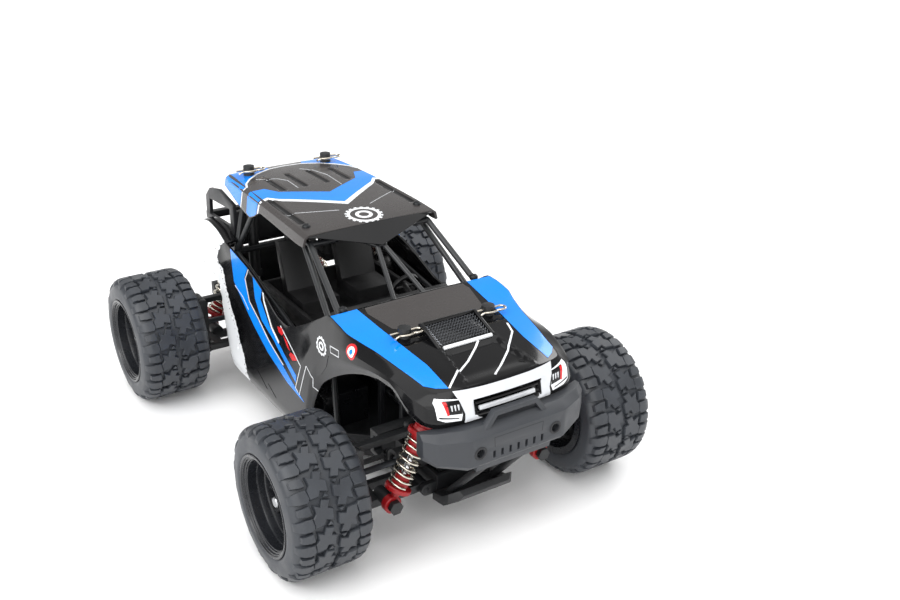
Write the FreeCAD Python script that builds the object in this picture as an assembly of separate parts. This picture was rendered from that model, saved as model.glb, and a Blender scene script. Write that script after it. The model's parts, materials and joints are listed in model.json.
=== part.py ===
import FreeCAD, Part
import math
import os

# 1/18 scale four-wheel-drive remote control truck.
# Millimetres, +X forward, +Y left, +Z up, origin on the ground at the middle of the overall length.

# driving dimensions
wheelbase = 182.0
track = 156.0
tyre_radius = 35.0
tyre_width = 38.0
front_overhang = 52.3
rear_overhang = 39.7
floor_drop = 18.0          # underside of the chassis below the axle line
shell_wall = 1.2
running_fit = 0.06         # radial clearance of a pin or shaft in its hole
pivot_play = 0.6           # radial clearance of the lower shock eyelets
gap = 0.4                  # clearance between separate mouldings

# wheels
rim_radius = 22.0
rim_wall = 2.0
rim_flange = 1.5
tread_thickness = 4.0
sidewall = 2.6
shoulder = 3.0
web_offset = 7.0           # wheel web outboard of the wheel centre
web_thickness = 3.0
hub_radius = 6.0
stub_radius = 2.5
wheel_nut_radius = 3.4
wheel_nut_height = 3.0

# suspension, measured from the car centre plane and the axle line
kingpin_inset = 18.0       # wheel centre to kingpin
arm_inner_y = 20.0
arm_outer_inset = 8.0      # kingpin to outer arm pivot
lower_pivot_dz = -13.0
upper_pivot_dz = 14.0
pin_radius = 1.25
arm_barrel_radius = 3.0
arm_half_length = 8.0
arm_thickness = 4.0
shaft_radius = 1.5
shaft_ball_radius = 3.2
shock_plane = 15.0         # shocks stand outside the axle by this
shock_low_y = 41.3
shock_low_dz = -10.0
shock_top_y = 20.6
shock_top_dz = 33.0
shock_bolt_radius = 1.5
eyelet_radius = 4.3
eyelet_thickness = 4.0
shock_body_radius = 3.6
shock_rod_radius = 1.4
shock_neck_radius = 1.8
spring_wire = 0.55
spring_radius = 4.9
spring_turns = 8
steer_arm = 11.0
steer_dz = -3.0
rack_dz = 3.2              # underside of the steering link, above the centre shaft
rack_height = 2.4
ear_drop = 2.4             # top of the plate that carries a tie rod, below the rod's line
ear_thickness = 2.0
tie_rod_radius = 1.3

# chassis and drive line
floor_thickness = 2.5
tub_wall = 1.8
tub_height = 11.5
tub_half_width = 38.0
tub_end_half_width = 15.0
gearbox_half_width = 12.5
gearbox_half_length = 6.0
tower_thickness = 3.0
tower_top_dz = 38.0
tower_half_width = 25.5
drive_shaft_radius = 2.0
spur_teeth = 32
pinion_teeth = 12
gear_module = 0.9
spur_from_rear = 52.0
gear_width = 5.0
motor_radius = 12.0
motor_length = 34.0
switch_travel = 2.0

# body
sill_half_width = 46.5
waist_half_width = 47.5
belt_dz = 63.5             # shoulder line above the axle line at the back of the hood
nose_dz = 56.0             # hood lip above the axle line
post_radius = 3.0
hood_post_y = 22.6
hood_post_dx = -4.6
hood_post_top_dz = 64.8
hood_clip_turn = -57       # degrees the bonnet clips are turned away from square
roof_post_y = 23.2
roof_post_dx = 14.4
roof_post_top_dz = 93.7
roof_dz = 88.0
roof_half_width = 37.0
cage_tube = 1.5
fog_lamp_y = 19.7
fog_lamp_radius = 2.0
fog_lamp_depth = 5.0

V = FreeCAD.Vector
front_x = (wheelbase + rear_overhang - front_overhang) / 2
rear_x = front_x - wheelbase
axle_z = tyre_radius
kingpin_y = track / 2 - kingpin_inset
arm_outer_y = kingpin_y - arm_outer_inset
arm_span = arm_outer_y - arm_inner_y
inner_joint_y = kingpin_y - arm_span
floor_z = axle_z - floor_drop
deck_z = floor_z + floor_thickness
OUT = "parts"


def block(x0, x1, y0, y1, z0, z1):
    return Part.makeBox(x1 - x0, y1 - y0, z1 - z0, V(x0, y0, z0))


def rod(start, end, radius):
    a, b = V(*start), V(*end)
    return Part.makeCylinder(radius, (b - a).Length, a, b - a)


def plate(points, thickness):
    """Closed outline of 3-D points, given thickness along a vector."""
    corners = [V(*p) for p in points]
    return Part.Face(Part.makePolygon(corners + corners[:1])).extrude(V(*thickness))


def side_plate(outline, y0, y1):
    return plate([(x, y0, z) for x, z in outline], (0, y1 - y0, 0))


def merge(first, *others):
    return first.multiFuse(list(others)).removeSplitter()


def mirrored(shape):
    return shape.mirror(V(0, 0, 0), V(0, 1, 0))


def both_sides(shape):
    return [shape, mirrored(shape)]


def loft(sections):
    wires = [Part.makePolygon([V(*p) for p in s + s[:1]]) for s in sections]
    return Part.makeLoft(wires, True, True)


def full_section(half):
    """A section given from the lower edge up to the centre line, closed over both sides."""
    left = [tuple(p) for p in half]
    right = [(x, -y, z) for x, y, z in reversed(left) if y > 0]
    return left + right


def save(name, *solids):
    shape = solids[0] if len(solids) == 1 else Part.makeCompound(list(solids))
    shape.exportStep(f"{OUT}/{name}.step")


# --- one wheel, centred on its own origin with the outboard side at +Y

def tyre():
    half = tyre_width / 2
    seat = half - rim_flange
    inner = tyre_radius - tread_thickness
    profile = [
        (rim_radius, seat), (rim_radius + rim_flange, seat), (rim_radius + rim_flange + 1, half),
        (tyre_radius - shoulder, half), (tyre_radius, half - shoulder),
    ]
    cavity = [(inner, seat - sidewall - 1), (inner - 1, seat - sidewall), (rim_radius, seat - sidewall)]
    right = [(r, -y) for r, y in reversed(profile)]
    outline = profile + right + [(r, -y) for r, y in reversed(cavity)] + cavity
    corners = [V(0, y, r) for r, y in outline]
    face = Part.Face(Part.makePolygon(corners + corners[:1]))
    return face.revolve(V(0, 0, 0), V(0, 1, 0), 360)


def rim():
    half = tyre_width / 2
    barrel = rod((0, -half, 0), (0, half, 0), rim_radius)
    flange = rod((0, half - rim_flange, 0), (0, half, 0), rim_radius + rim_flange)
    back_flange = rod((0, -half, 0), (0, rim_flange - half, 0), rim_radius + rim_flange)
    bore = rod((0, -half - 1, 0), (0, half + 1, 0), rim_radius - rim_wall)
    web = rod((0, web_offset - web_thickness, 0), (0, web_offset, 0), rim_radius - rim_wall + 0.5)
    hub = rod((0, web_offset - 8, 0), (0, web_offset + 1, 0), hub_radius)
    window = plate([(-2.2, 0, 8), (2.2, 0, 8), (4.2, 0, 18.5), (-4.2, 0, 18.5)], (0, web_offset + 2, 0))
    windows = [window.rotated(V(0, 0, 0), V(0, 1, 0), 60 * k) for k in range(6)]
    wheel = merge(barrel, flange, back_flange).cut(bore)
    wheel = merge(wheel, web.cut(Part.makeCompound(windows)), hub)
    return wheel.cut(rod((0, -half, 0), (0, half, 0), stub_radius))


def stub_axle():
    """Steel axle with the drive cup at its inner end and the hex that drives the wheel."""
    cup = rod((0, -kingpin_inset - 3.5, 0), (0, -kingpin_inset + 5, 0), 5.0)
    bore = rod((0, -kingpin_inset - 4, 0), (0, -kingpin_inset + 3.8, 0), 3.7)
    shaft = rod((0, -kingpin_inset + 4, 0), (0, web_offset + 6, 0), stub_radius)
    drive_hex = Part.Face(Part.makePolygon(hexagon(web_offset - 11, 4.5))).extrude(V(0, 3, 0))
    return merge(cup.cut(bore), shaft, drive_hex)


def hexagon(y, radius):
    angles = [math.radians(60 * k) for k in range(7)]
    return [V(radius * math.cos(a), y, radius * math.sin(a)) for a in angles]


def wheel_nut():
    nut = Part.Face(Part.makePolygon(hexagon(web_offset + 1, wheel_nut_radius)))
    return nut.extrude(V(0, wheel_nut_height, 0)).cut(rod((0, 0, 0), (0, 20, 0), stub_radius))


# --- one corner of the suspension, left side, measured from the axle centre on the centre plane
# "lead" is +1 where the shock stands ahead of the axle and -1 where it stands behind

def pivot_barrel(y, dz, radius, half):
    return rod((-half, y, dz), (half, y, dz), radius)


def lower_arm(lead):
    inner = pivot_barrel(arm_inner_y, lower_pivot_dz, arm_barrel_radius, arm_half_length)
    z0 = lower_pivot_dz - arm_thickness / 2
    web_end = arm_outer_y - arm_barrel_radius - 1.2
    web = block(-arm_half_length, arm_half_length, arm_inner_y, web_end, z0, z0 + arm_thickness)
    window = block(-4.5, 4.5, arm_inner_y + 6, web_end - 5, z0 - 1, z0 + arm_thickness + 1)
    tine = merge(
        block(5.4, arm_half_length, web_end - 3, arm_outer_y, z0, z0 + arm_thickness),
        rod((5.4, arm_outer_y, lower_pivot_dz), (arm_half_length, arm_outer_y, lower_pivot_dz), 2.6),
    )
    other_tine = tine.mirror(V(0, 0, 0), V(1, 0, 0))
    boss_end = lead * (shock_plane - eyelet_thickness / 2 - gap)
    boss = rod((lead * 4, shock_low_y, shock_low_dz), (boss_end, shock_low_y, shock_low_dz), 3.2)
    arm = merge(inner, web.cut(window), tine, other_tine, boss)
    hole = pivot_barrel(arm_outer_y, lower_pivot_dz, pin_radius + running_fit, arm_half_length + 1)
    pin_hole = pivot_barrel(arm_inner_y, lower_pivot_dz, pin_radius, arm_half_length + 1)
    bolt_end = lead * (shock_plane + eyelet_thickness / 2 + gap)
    bolt = rod((lead * 6, shock_low_y, shock_low_dz), (bolt_end, shock_low_y, shock_low_dz),
               shock_bolt_radius)
    head = Part.Face(Part.makePolygon([V(bolt_end, shock_low_y + p.x, shock_low_dz + p.z)
                                       for p in hexagon(0, 3.4)])).extrude(V(lead * 2.6, 0, 0))
    arm = arm.cut(hole).cut(pin_hole).cut(bolt)
    hinge_pin = pivot_barrel(arm_inner_y, lower_pivot_dz, pin_radius, arm_half_length + 3.2)
    return [arm, hinge_pin, merge(bolt, head)]


def carrier_spine():
    """Upright with the barrel for the lower arm, the ears for the upper link and the shaft hole."""
    y0, y1 = arm_outer_y - 2, arm_outer_y + 2
    spine = block(-6, 6, y0, y1, lower_pivot_dz + 3.5, upper_pivot_dz - 4.5)
    barrel = pivot_barrel(arm_outer_y, lower_pivot_dz, arm_barrel_radius, 5.0)
    neck = block(-5, 5, y0, y1, lower_pivot_dz, lower_pivot_dz + 4)
    ears = []
    for x0 in (-6.0, 3.0):
        ears.append(block(x0, x0 + 3, y0, y1, upper_pivot_dz - 5, upper_pivot_dz))
        ears.append(rod((x0, arm_outer_y, upper_pivot_dz), (x0 + 3, arm_outer_y, upper_pivot_dz), 2.4))
    return merge(spine, barrel, neck, *ears)


def carrier_pins():
    lower = pivot_barrel(arm_outer_y, lower_pivot_dz, pin_radius, arm_half_length)
    upper = pivot_barrel(arm_outer_y, upper_pivot_dz, pin_radius, 6.0)
    return [lower, upper]


def front_carrier():
    lug_end = kingpin_y + 4
    lugs = []
    for z0 in (-12.0, 9.0):
        lugs.append(block(-5, 5, arm_outer_y + 1, lug_end, z0, z0 + 3))
    shape = merge(carrier_spine(), *lugs)
    shape = shape.cut(rod((0, arm_outer_y - 3, 0), (0, arm_outer_y + 3, 0), 5.0))
    shape = shape.cut(rod((0, kingpin_y, -13), (0, kingpin_y, 13), pin_radius + running_fit))
    shape = shape.cut(pivot_barrel(arm_outer_y, upper_pivot_dz, 2.4 + gap, 3.0))
    for pin in carrier_pins():
        shape = shape.cut(pin)
    return [shape] + carrier_pins()


def rear_carrier():
    boss = rod((0, arm_outer_y + 1, 0), (0, kingpin_y + 7, 0), 8.0)
    nose = rod((0, kingpin_y + 4, 0), (0, kingpin_y + 10, 0), 5.0)
    shape = merge(carrier_spine(), boss, nose)
    shape = shape.cut(rod((0, arm_outer_y - 3, 0), (0, kingpin_y + 5.5, 0), 5.0 + running_fit))
    shape = shape.cut(rod((0, kingpin_y, 0), (0, kingpin_y + 11, 0), stub_radius + running_fit))
    for pin in carrier_pins():
        shape = shape.cut(pin)
    return [shape] + carrier_pins()


def knuckle():
    core = block(-7, 7, kingpin_y - 2.5, kingpin_y + 7, -8.6, 8.6)
    nose = rod((0, kingpin_y + 6, 0), (0, kingpin_y + 10, 0), 5.0)
    z1 = steer_dz - ear_drop
    z0 = z1 - ear_thickness
    arm = block(-steer_arm, -6, kingpin_y - 2.2, kingpin_y + 2.2, z0, z1)
    arm_eye = rod((-steer_arm, kingpin_y, z0), (-steer_arm, kingpin_y, z1), 2.2)
    stud = rod((-steer_arm, kingpin_y, z0), (-steer_arm, kingpin_y, steer_dz + 2.4), 0.9)
    kingpins = rod((0, kingpin_y, -11.5), (0, kingpin_y, 11.5), pin_radius)
    shape = merge(core, nose, arm, arm_eye, kingpins)
    shape = shape.cut(rod((0, kingpin_y - 3, 0), (0, kingpin_y + 5.5, 0), 5.0 + running_fit))
    shape = shape.cut(rod((0, kingpin_y, 0), (0, kingpin_y + 11, 0), stub_radius + running_fit))
    return merge(shape, stud)


def upper_link():
    bar = block(-1.8, 1.8, arm_inner_y, arm_outer_y, upper_pivot_dz - 1.5, upper_pivot_dz + 1.5)
    eyes = [pivot_barrel(y, upper_pivot_dz, 2.4, 2.6) for y in (arm_inner_y, arm_outer_y)]
    shape = merge(bar, *eyes)
    for y in (arm_inner_y, arm_outer_y):
        shape = shape.cut(pivot_barrel(y, upper_pivot_dz, pin_radius + running_fit, 4))
    return shape


def driveshaft():
    balls = [Part.makeSphere(shaft_ball_radius, V(0, y, 0)) for y in (inner_joint_y, kingpin_y)]
    shaft = rod((0, inner_joint_y, 0), (0, kingpin_y, 0), shaft_radius)
    return merge(shaft, *balls)


def tie_rod():
    reach = kingpin_y - inner_joint_y
    shape = rod((-steer_arm, inner_joint_y + 2, steer_dz), (-steer_arm, inner_joint_y + reach - 2, steer_dz),
                tie_rod_radius)
    for y in (inner_joint_y, kingpin_y):
        eye = rod((-steer_arm, y, steer_dz - 1.5), (-steer_arm, y, steer_dz + 1.5), 2.8)
        shape = merge(shape, eye)
    for y in (inner_joint_y, kingpin_y):
        shape = shape.cut(rod((-steer_arm, y, steer_dz - 3), (-steer_arm, y, steer_dz + 3), 1.9))
    return shape


# --- shock absorber, built along its own axis from the lower eyelet and then laid on its line

shock_length = math.hypot(shock_low_y - shock_top_y, shock_top_dz - shock_low_dz)
shock_lean = math.degrees(math.atan2(shock_low_y - shock_top_y, shock_top_dz - shock_low_dz))
perch_height = 9.0         # spring seat above the lower eyelet centre
spring_height = 26.0
body_bottom = 25.0         # open end of the shock body above the lower eyelet centre


def lay_shock(shape, lead):
    shape = shape.rotated(V(0, 0, 0), V(1, 0, 0), shock_lean)
    return shape.translated(V(lead * shock_plane, shock_low_y, shock_low_dz))


def eyelet(height, hole):
    half = eyelet_thickness / 2
    ring = rod((-half, 0, height), (half, 0, height), eyelet_radius)
    return ring, rod((-half - 1, 0, height), (half + 1, 0, height), hole)


def shock_rod():
    ring, hole = eyelet(0, shock_bolt_radius + pivot_play)
    neck = rod((0, 0, 2), (0, 0, perch_height), shock_neck_radius)
    cup = rod((0, 0, perch_height - 1), (0, 0, perch_height + 6), 3.2)
    seat = rod((0, 0, perch_height - 2), (0, 0, perch_height), spring_radius + 1.3)
    stem = rod((0, 0, perch_height), (0, 0, body_bottom + 9), shock_rod_radius)
    return merge(ring, neck, cup, seat, stem).cut(hole)


def shock_cylinder():
    ring, hole = eyelet(shock_length, shock_bolt_radius + running_fit)
    cap_z = perch_height + spring_height
    barrel = rod((0, 0, body_bottom), (0, 0, shock_length - 6), shock_body_radius)
    neck = rod((0, 0, shock_length - 7), (0, 0, shock_length - 2), shock_neck_radius)
    bore = rod((0, 0, body_bottom - 1), (0, 0, shock_length - 8), shock_rod_radius + running_fit)
    seat = rod((0, 0, cap_z), (0, 0, cap_z + 2), spring_radius + 1.3)
    return merge(barrel, neck, seat, ring).cut(bore).cut(hole)


def shock_spring():
    pitch = (spring_height - 2 * spring_wire - 0.2) / spring_turns
    helix = Part.makeHelix(pitch, pitch * spring_turns, spring_radius)
    section = Part.Wire(Part.makeCircle(spring_wire, V(spring_radius, 0, 0), V(0, 1, 0)))
    coil = Part.Wire(helix.Edges).makePipeShell([section], True, True)
    return coil.translated(V(0, 0, perch_height + spring_wire + 0.1))


# --- chassis

def tub_outline(inset):
    rear_end, front_end = rear_x - 12 + inset, front_x + 12 - inset
    wide, narrow = tub_half_width - inset, tub_end_half_width - inset
    half = [(rear_end, narrow), (rear_x + 22, narrow), (rear_x + 40, wide),
            (front_x - 46, wide), (front_x - 26, narrow), (front_end, narrow)]
    return half + [(x, -y) for x, y in reversed(half)]


def chassis_tub():
    outer = plate([(x, y, floor_z) for x, y in tub_outline(0)], (0, 0, tub_height))
    cavity = plate([(x, y, deck_z) for x, y in tub_outline(tub_wall)], (0, 0, tub_height))
    tub = outer.cut(cavity)
    lugs = []
    pin_z = axle_z + lower_pivot_dz
    for axle in (front_x, rear_x):
        for x0 in (axle - arm_half_length - 3.2, axle + arm_half_length + gap):
            for side in (1, -1):
                y0, y1 = sorted((side * (tub_end_half_width - 1), side * arm_inner_y))
                lugs.append(block(x0, x0 + 2.8, y0, y1, pin_z - 3, pin_z + 3))
                lugs.append(rod((x0, side * arm_inner_y, pin_z), (x0 + 2.8, side * arm_inner_y, pin_z), 3))
    tub = merge(tub, *lugs)
    for axle in (front_x, rear_x):
        for side in (1, -1):
            reach = arm_half_length + 4
            tub = tub.cut(rod((axle - reach, side * arm_inner_y, pin_z),
                              (axle + reach, side * arm_inner_y, pin_z), pin_radius + running_fit))
    reach = switch_travel + 1.6
    return tub.cut(block(-reach, reach, tub_half_width - 3, tub_half_width + 1, deck_z + 4, deck_z + 8))


def gearbox(axle):
    half = gearbox_half_length
    top = axle_z + upper_pivot_dz - 1
    case = block(axle - half, axle + half, -gearbox_half_width, gearbox_half_width, deck_z, top)
    pieces = []
    for side in (1, -1):
        pieces.append(rod((axle, side * 11, axle_z), (axle, side * (inner_joint_y + 3), axle_z), 6))
        for x0 in (axle - 5.9, axle + 3.0):
            y0, y1 = sorted((side * 10, side * arm_inner_y))
            z = axle_z + upper_pivot_dz
            pieces.append(block(x0, x0 + 2.9, y0, y1, z - 2.4, z + 2.4))
            pieces.append(rod((x0, side * arm_inner_y, z), (x0 + 2.9, side * arm_inner_y, z), 2.4))
    case = merge(case, *pieces)
    for side in (1, -1):
        case = case.cut(rod((axle, side * (inner_joint_y - 4), axle_z),
                            (axle, side * (inner_joint_y + 4), axle_z), shaft_ball_radius + 0.5))
        case = case.cut(rod((axle - 7, side * arm_inner_y, axle_z + upper_pivot_dz),
                            (axle + 7, side * arm_inner_y, axle_z + upper_pivot_dz), pin_radius))
    return case.cut(rod((rear_x - 3, 0, axle_z), (front_x + 3, 0, axle_z), drive_shaft_radius + running_fit))


def link_pins(axle):
    z = axle_z + upper_pivot_dz
    return [rod((axle - 5.9, s * arm_inner_y, z), (axle + 5.9, s * arm_inner_y, z), pin_radius)
            for s in (1, -1)]


def shock_tower(axle, lead):
    x0 = axle + lead * gearbox_half_length
    x1 = x0 + lead * tower_thickness
    base, top = deck_z, axle_z + tower_top_dz
    waist = axle_z + 20
    half = [(12.0, base), (12.0, waist), (tower_half_width, waist + 5), (tower_half_width, top - 4),
            (tower_half_width - 4, top)]
    outline = half + [(-y, z) for y, z in reversed(half)]
    wall = plate([(x0, y, z) for y, z in outline], (x1 - x0, 0, 0))
    bolts = []
    bolt_z = axle_z + shock_top_dz
    bolt_end = axle + lead * (shock_plane + eyelet_thickness / 2 + gap)
    for side in (1, -1):
        y = side * shock_top_y
        shank = rod((x0, y, bolt_z), (bolt_end, y, bolt_z), shock_bolt_radius)
        head = rod((bolt_end, y, bolt_z), (bolt_end + lead * 1.8, y, bolt_z), 2.8)
        spacer_end = axle + lead * (shock_plane - eyelet_thickness / 2 - gap)
        spacer = rod((x1, y, bolt_z), (spacer_end, y, bolt_z), 2.6)
        bolts.append(merge(spacer, shank, head))
    return merge(wall, *bolts)


def front_tower():
    tower = shock_tower(front_x, 1)
    top = axle_z + tower_top_dz
    x = front_x + hood_post_dx
    pieces = [tower]
    for side in (1, -1):
        y = side * hood_post_y
        y0, y1 = y - post_radius, y + post_radius
        pieces.append(block(x - post_radius, front_x + gearbox_half_length + 1, y0, y1, top - 9, top - 5))
        pieces.append(rod((x, y, top - 9), (x, y, axle_z + hood_post_top_dz), post_radius))
    tower = merge(*pieces)
    for side in (1, -1):
        y = side * hood_post_y
        tower = tower.cut(clip_bore(x, y, axle_z + hood_post_top_dz, hood_clip_turn))
    return tower


def rear_tower():
    top = axle_z + tower_top_dz
    x = rear_x + roof_post_dx
    pieces = [shock_tower(rear_x, -1)]
    for side in (1, -1):
        y = side * roof_post_y
        y0, y1 = y - post_radius, y + post_radius
        pieces.append(block(rear_x - gearbox_half_length - 1, x + post_radius, y0, y1, top - 9, top - 5))
        pieces.append(rod((x, y, top - 9), (x, y, axle_z + roof_post_top_dz), post_radius))
    tower = merge(*pieces)
    for side in (1, -1):
        tower = tower.cut(clip_bore(x, side * roof_post_y, axle_z + roof_post_top_dz, 0))
    return tower


clip_wire = 0.6
clip_drop = 2.0            # clip hole below the top of a body post


def clip_bore(x, y, top, turn):
    z = top - clip_drop
    bore = rod((x, y - post_radius - 1, z), (x, y + post_radius + 1, z), clip_wire + running_fit)
    return bore.rotated(V(x, y, z), V(0, 0, 1), turn)


def body_clip(x, y, top, turn):
    """R-clip: a straight leg through the post and a bent leg round it, joined by an end loop."""
    z = top - clip_drop
    leg = rod((0, -7, 0), (0, 6, 0), clip_wire)
    bend = Part.makeTorus(2.0, clip_wire, V(2.0, 6, 0), V(0, 0, 1), -180, 180, 180)
    spring_leg = rod((4.0, 6, 0), (4.0, -5, 0), clip_wire)
    tip = rod((4.0, -5, 0), (5.0, -8, 0), clip_wire)
    clip = merge(leg, bend, spring_leg, tip)
    return clip.rotated(V(0, 0, 0), V(0, 0, 1), turn).translated(V(x, y, z))


def gear(teeth, width, bore):
    """Straight-toothed gear along X with slim trapezoid teeth, first tooth pointing along +Y."""
    pitch_radius = gear_module * teeth / 2
    root, tip = pitch_radius - 1.1 * gear_module, pitch_radius + 0.8 * gear_module
    step = 2 * math.pi / teeth
    points = []
    for k in range(teeth):
        for radius, share in ((root, -0.30), (tip, -0.12), (tip, 0.12), (root, 0.30)):
            angle = step * (k + share)
            points.append((0, radius * math.cos(angle), radius * math.sin(angle)))
    disc = plate(points, (width, 0, 0))
    return disc.cut(rod((-1, 0, 0), (width + 1, 0, 0), bore))


def centre_shaft():
    spur_x = rear_x + spur_from_rear
    shaft = rod((rear_x - 2, 0, axle_z), (front_x + 2, 0, axle_z), drive_shaft_radius)
    spur = gear(spur_teeth, gear_width, drive_shaft_radius).translated(V(spur_x, 0, axle_z))
    return [shaft, spur]


gear_distance = gear_module * (spur_teeth + pinion_teeth) / 2


def motor_pinion():
    half_tooth = 180.0 / pinion_teeth
    toothed = gear(pinion_teeth, gear_width, 0.8).rotated(V(0, 0, 0), V(1, 0, 0), 180 + half_tooth)
    shaft = rod((-1, 0, 0), (gear_width + 6, 0, 0), 1.0)
    return merge(toothed, shaft).translated(V(rear_x + spur_from_rear, gear_distance, axle_z))


def drive_motor():
    x0 = rear_x + spur_from_rear + gear_width + 2.5
    can = rod((x0, gear_distance, axle_z), (x0 + motor_length, gear_distance, axle_z), motor_radius)
    bore = rod((x0 - 1, gear_distance, axle_z), (x0 + 4, gear_distance, axle_z), 1.0 + running_fit)
    foot_y0, foot_y1 = gear_distance - 8, gear_distance + 8
    foot = block(x0 + 4, x0 + 8, foot_y0, foot_y1, deck_z, axle_z - 8)
    back = block(x0 + motor_length - 8, x0 + motor_length - 4, foot_y0, foot_y1, deck_z, axle_z - 8)
    return merge(can.cut(bore), foot, back)


def battery_pack():
    x0 = rear_x + 58
    return block(x0, x0 + 62, -tub_half_width + tub_wall + 1, -10, deck_z, deck_z + 19)


def control_board():
    x0 = front_x - 76
    return block(x0, x0 + 26, 12, tub_half_width - tub_wall - 7, deck_z, deck_z + 9)


servo_x = front_x - 31.0   # horn pivot
horn_z = axle_z + rack_dz + rack_height + 2.6
servo_z = horn_z + 1.8
horn_thickness = 2.0


def steering_servo():
    case = block(servo_x - 16, servo_x + 6, -6, 6, servo_z, servo_z + 20)
    shelf_z = servo_z + 3
    boss = rod((servo_x, 0, horn_z + horn_thickness / 2 + gap), (servo_x, 0, servo_z + 1), 3)
    pieces = [boss]
    for x0 in (servo_x - 20, servo_x + 1):
        pieces.append(block(x0, x0 + 3, -10.5, 10.5, shelf_z, shelf_z + 2))
        for y0 in (-10.5, 8.0):
            pieces.append(block(x0, x0 + 3, y0, y0 + 2.5, deck_z, shelf_z + 2))
    pieces.append(block(servo_x - 20, servo_x - 15, -6, 6, shelf_z, shelf_z + 2))
    return merge(case, *pieces)


def servo_horn():
    z0, z1 = horn_z - horn_thickness / 2, horn_z + horn_thickness / 2
    tip_x = servo_x + steer_arm
    hub = rod((servo_x, 0, z0), (servo_x, 0, z1), 3.2)
    arm = block(servo_x, tip_x, -1.6, 1.6, z0, z1)
    tip = rod((tip_x, 0, z0), (tip_x, 0, z1), 2.2)
    pin = rod((tip_x, 0, axle_z + rack_dz + 0.4), (tip_x, 0, horn_z), 1.0)
    return merge(hub, arm, tip, pin)


def steering_rack():
    """Sliding steering link: slotted bar over the centre shaft with a dropped ear for each tie rod."""
    bar_x = servo_x + steer_arm
    z0 = axle_z + rack_dz
    z1 = z0 + rack_height
    ear_z1 = axle_z + steer_dz - ear_drop
    ear_z0 = ear_z1 - ear_thickness
    reach = inner_joint_y + 2.2
    bar = block(bar_x - 3.5, bar_x + 3.5, -reach, reach, z0, z1)
    shape = bar.cut(block(bar_x - 2.4, bar_x + 2.4, -1.2, 1.2, z0 - 1, z1 + 1))
    x = front_x - steer_arm
    pieces = []
    for side in (1, -1):
        y = side * inner_joint_y
        pieces.append(block(bar_x - 3.5, bar_x - 0.5, y - 2.2, y + 2.2, ear_z0, z1))
        pieces.append(block(bar_x - 3.5, x, y - 2.2, y + 2.2, ear_z0, ear_z1))
        pieces.append(rod((x, y, ear_z0), (x, y, ear_z1), 2.2))
        pieces.append(rod((x, y, ear_z0), (x, y, axle_z + steer_dz + 2.4), 0.9))
    return merge(shape, *pieces)


def power_switch():
    z = deck_z + 6
    knob = block(-1.5, 1.5, tub_half_width - 2.2, tub_half_width + 1.5, z - 1.6, z + 1.6)
    slider = block(-5, 5, tub_half_width - 4.6, tub_half_width - 2.2, z - 3, z + 3)
    return merge(knob, slider)


# --- bumper and skid plates

def bumper():
    nose = front_x + front_overhang
    z = axle_z

    def section(y, back, low_x, face_low, face, top_x, bottom, lip, crease, top):
        return [(back, y, bottom + 1), (low_x, y, bottom), (face_low, y, lip), (face, y, crease),
                (top_x, y, top), (back, y, top)]

    centre = (nose - 11, nose - 2.3, nose, nose, nose - 4.4, z + 21.5, z + 24, z + 36.8, z + 40)
    middle = (nose - 13, nose - 7, nose - 5, nose - 5.3, nose - 8.4, z + 24.6, z + 26.6, z + 36.6, z + 40)
    tip = (nose - 15, nose - 11, nose - 9.5, nose - 10, nose - 12.5, z + 28, z + 30, z + 37.2, z + 39.5)
    stations = [(-42.0, tip), (-37.0, middle), (-24.6, centre), (24.6, centre), (37.0, middle), (42.0, tip)]
    bar = loft([section(y, *shape) for y, shape in stations])
    lip = side_plate([(nose - 10, z + 19.5), (nose - 3.2, z + 18.5), (nose - 2.3, z + 23),
                      (nose - 10, z + 23.5)], -19.5, 19.5)
    mount = block(front_x + gearbox_half_length + tower_thickness, nose - 10, -9.5, 9.5, z + 23, z + 30)
    loop = [(-18.0, z + 36), (-11.2, z + 45.8), (11.2, z + 45.8), (18.0, z + 36)]
    inner = [(15.4, z + 36), (9.9, z + 43.6), (-9.9, z + 43.6), (-15.4, z + 36)]
    bull = plate([(nose - 5.6, y, h) for y, h in loop + inner], (3.2, 0, 0))
    shape = merge(bar, lip, mount, bull)
    for side in (1, -1):
        y = side * fog_lamp_y
        socket = rod((nose - fog_lamp_depth, y, z + 29.5), (nose + 1, y, z + 29.5), fog_lamp_radius)
        shape = shape.cut(socket)
    for k in range(-3, 4):
        slot = block(nose - 4, nose + 1, 4.2 * k - 0.65, 4.2 * k + 0.65, z + 25.2, z + 28.6)
        shape = shape.cut(slot)
    return shape


def front_skid():
    x = front_x + 12 + gap
    low = floor_z
    outline = [(x, low), (x + 9, low + 1.6), (x + 16.5, low + 7.2), (x + 18.4, low + 10.6),
               (x + 16.6, low + 12.8), (x + 8, low + 6.2), (x, low + 4)]
    blade = side_plate(outline, -17.7, 17.7)
    plan = [(x - 1, -18), (x + 12.5, -18), (x + 19, -12), (x + 19, 12), (x + 12.5, 18), (x - 1, 18)]
    blade = blade.common(plate([(a, b, low - 1) for a, b in plan], (0, 0, 16)))
    top_z = axle_z + 18.5
    top_x = front_x + front_overhang - 7
    stays = [rod((x + 3, y, low + 3), (top_x, y * 0.8, top_z + 0.2), 1.8) for y in (-12.0, 12.0)]
    trim = block(x, top_x + 6, -20, 20, top_z + 0.0, top_z + 8)
    return merge(blade, *[s.cut(trim) for s in stays])


def rear_skid():
    x = rear_x - 12 - gap
    low = floor_z
    outline = [(x, low), (x - 8, low + 1.5), (x - 14, low + 9), (x - 13, low + 12), (x - 6, low + 5),
               (x, low + 3.5)]
    blade = side_plate(outline, -15, 15)
    end_x = rear_x - rear_overhang
    bar = block(end_x, end_x + 5, -30, 30, low + 16, low + 24)
    stays = [side_plate([(x - 9, low + 4), (x - 4, low + 4), (end_x + 8, low + 22), (end_x + 3, low + 22)],
                        y - 2, y + 2) for y in (-11.0, 11.0)]
    return merge(blade, bar, *stays)


# --- painted body shell

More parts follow.
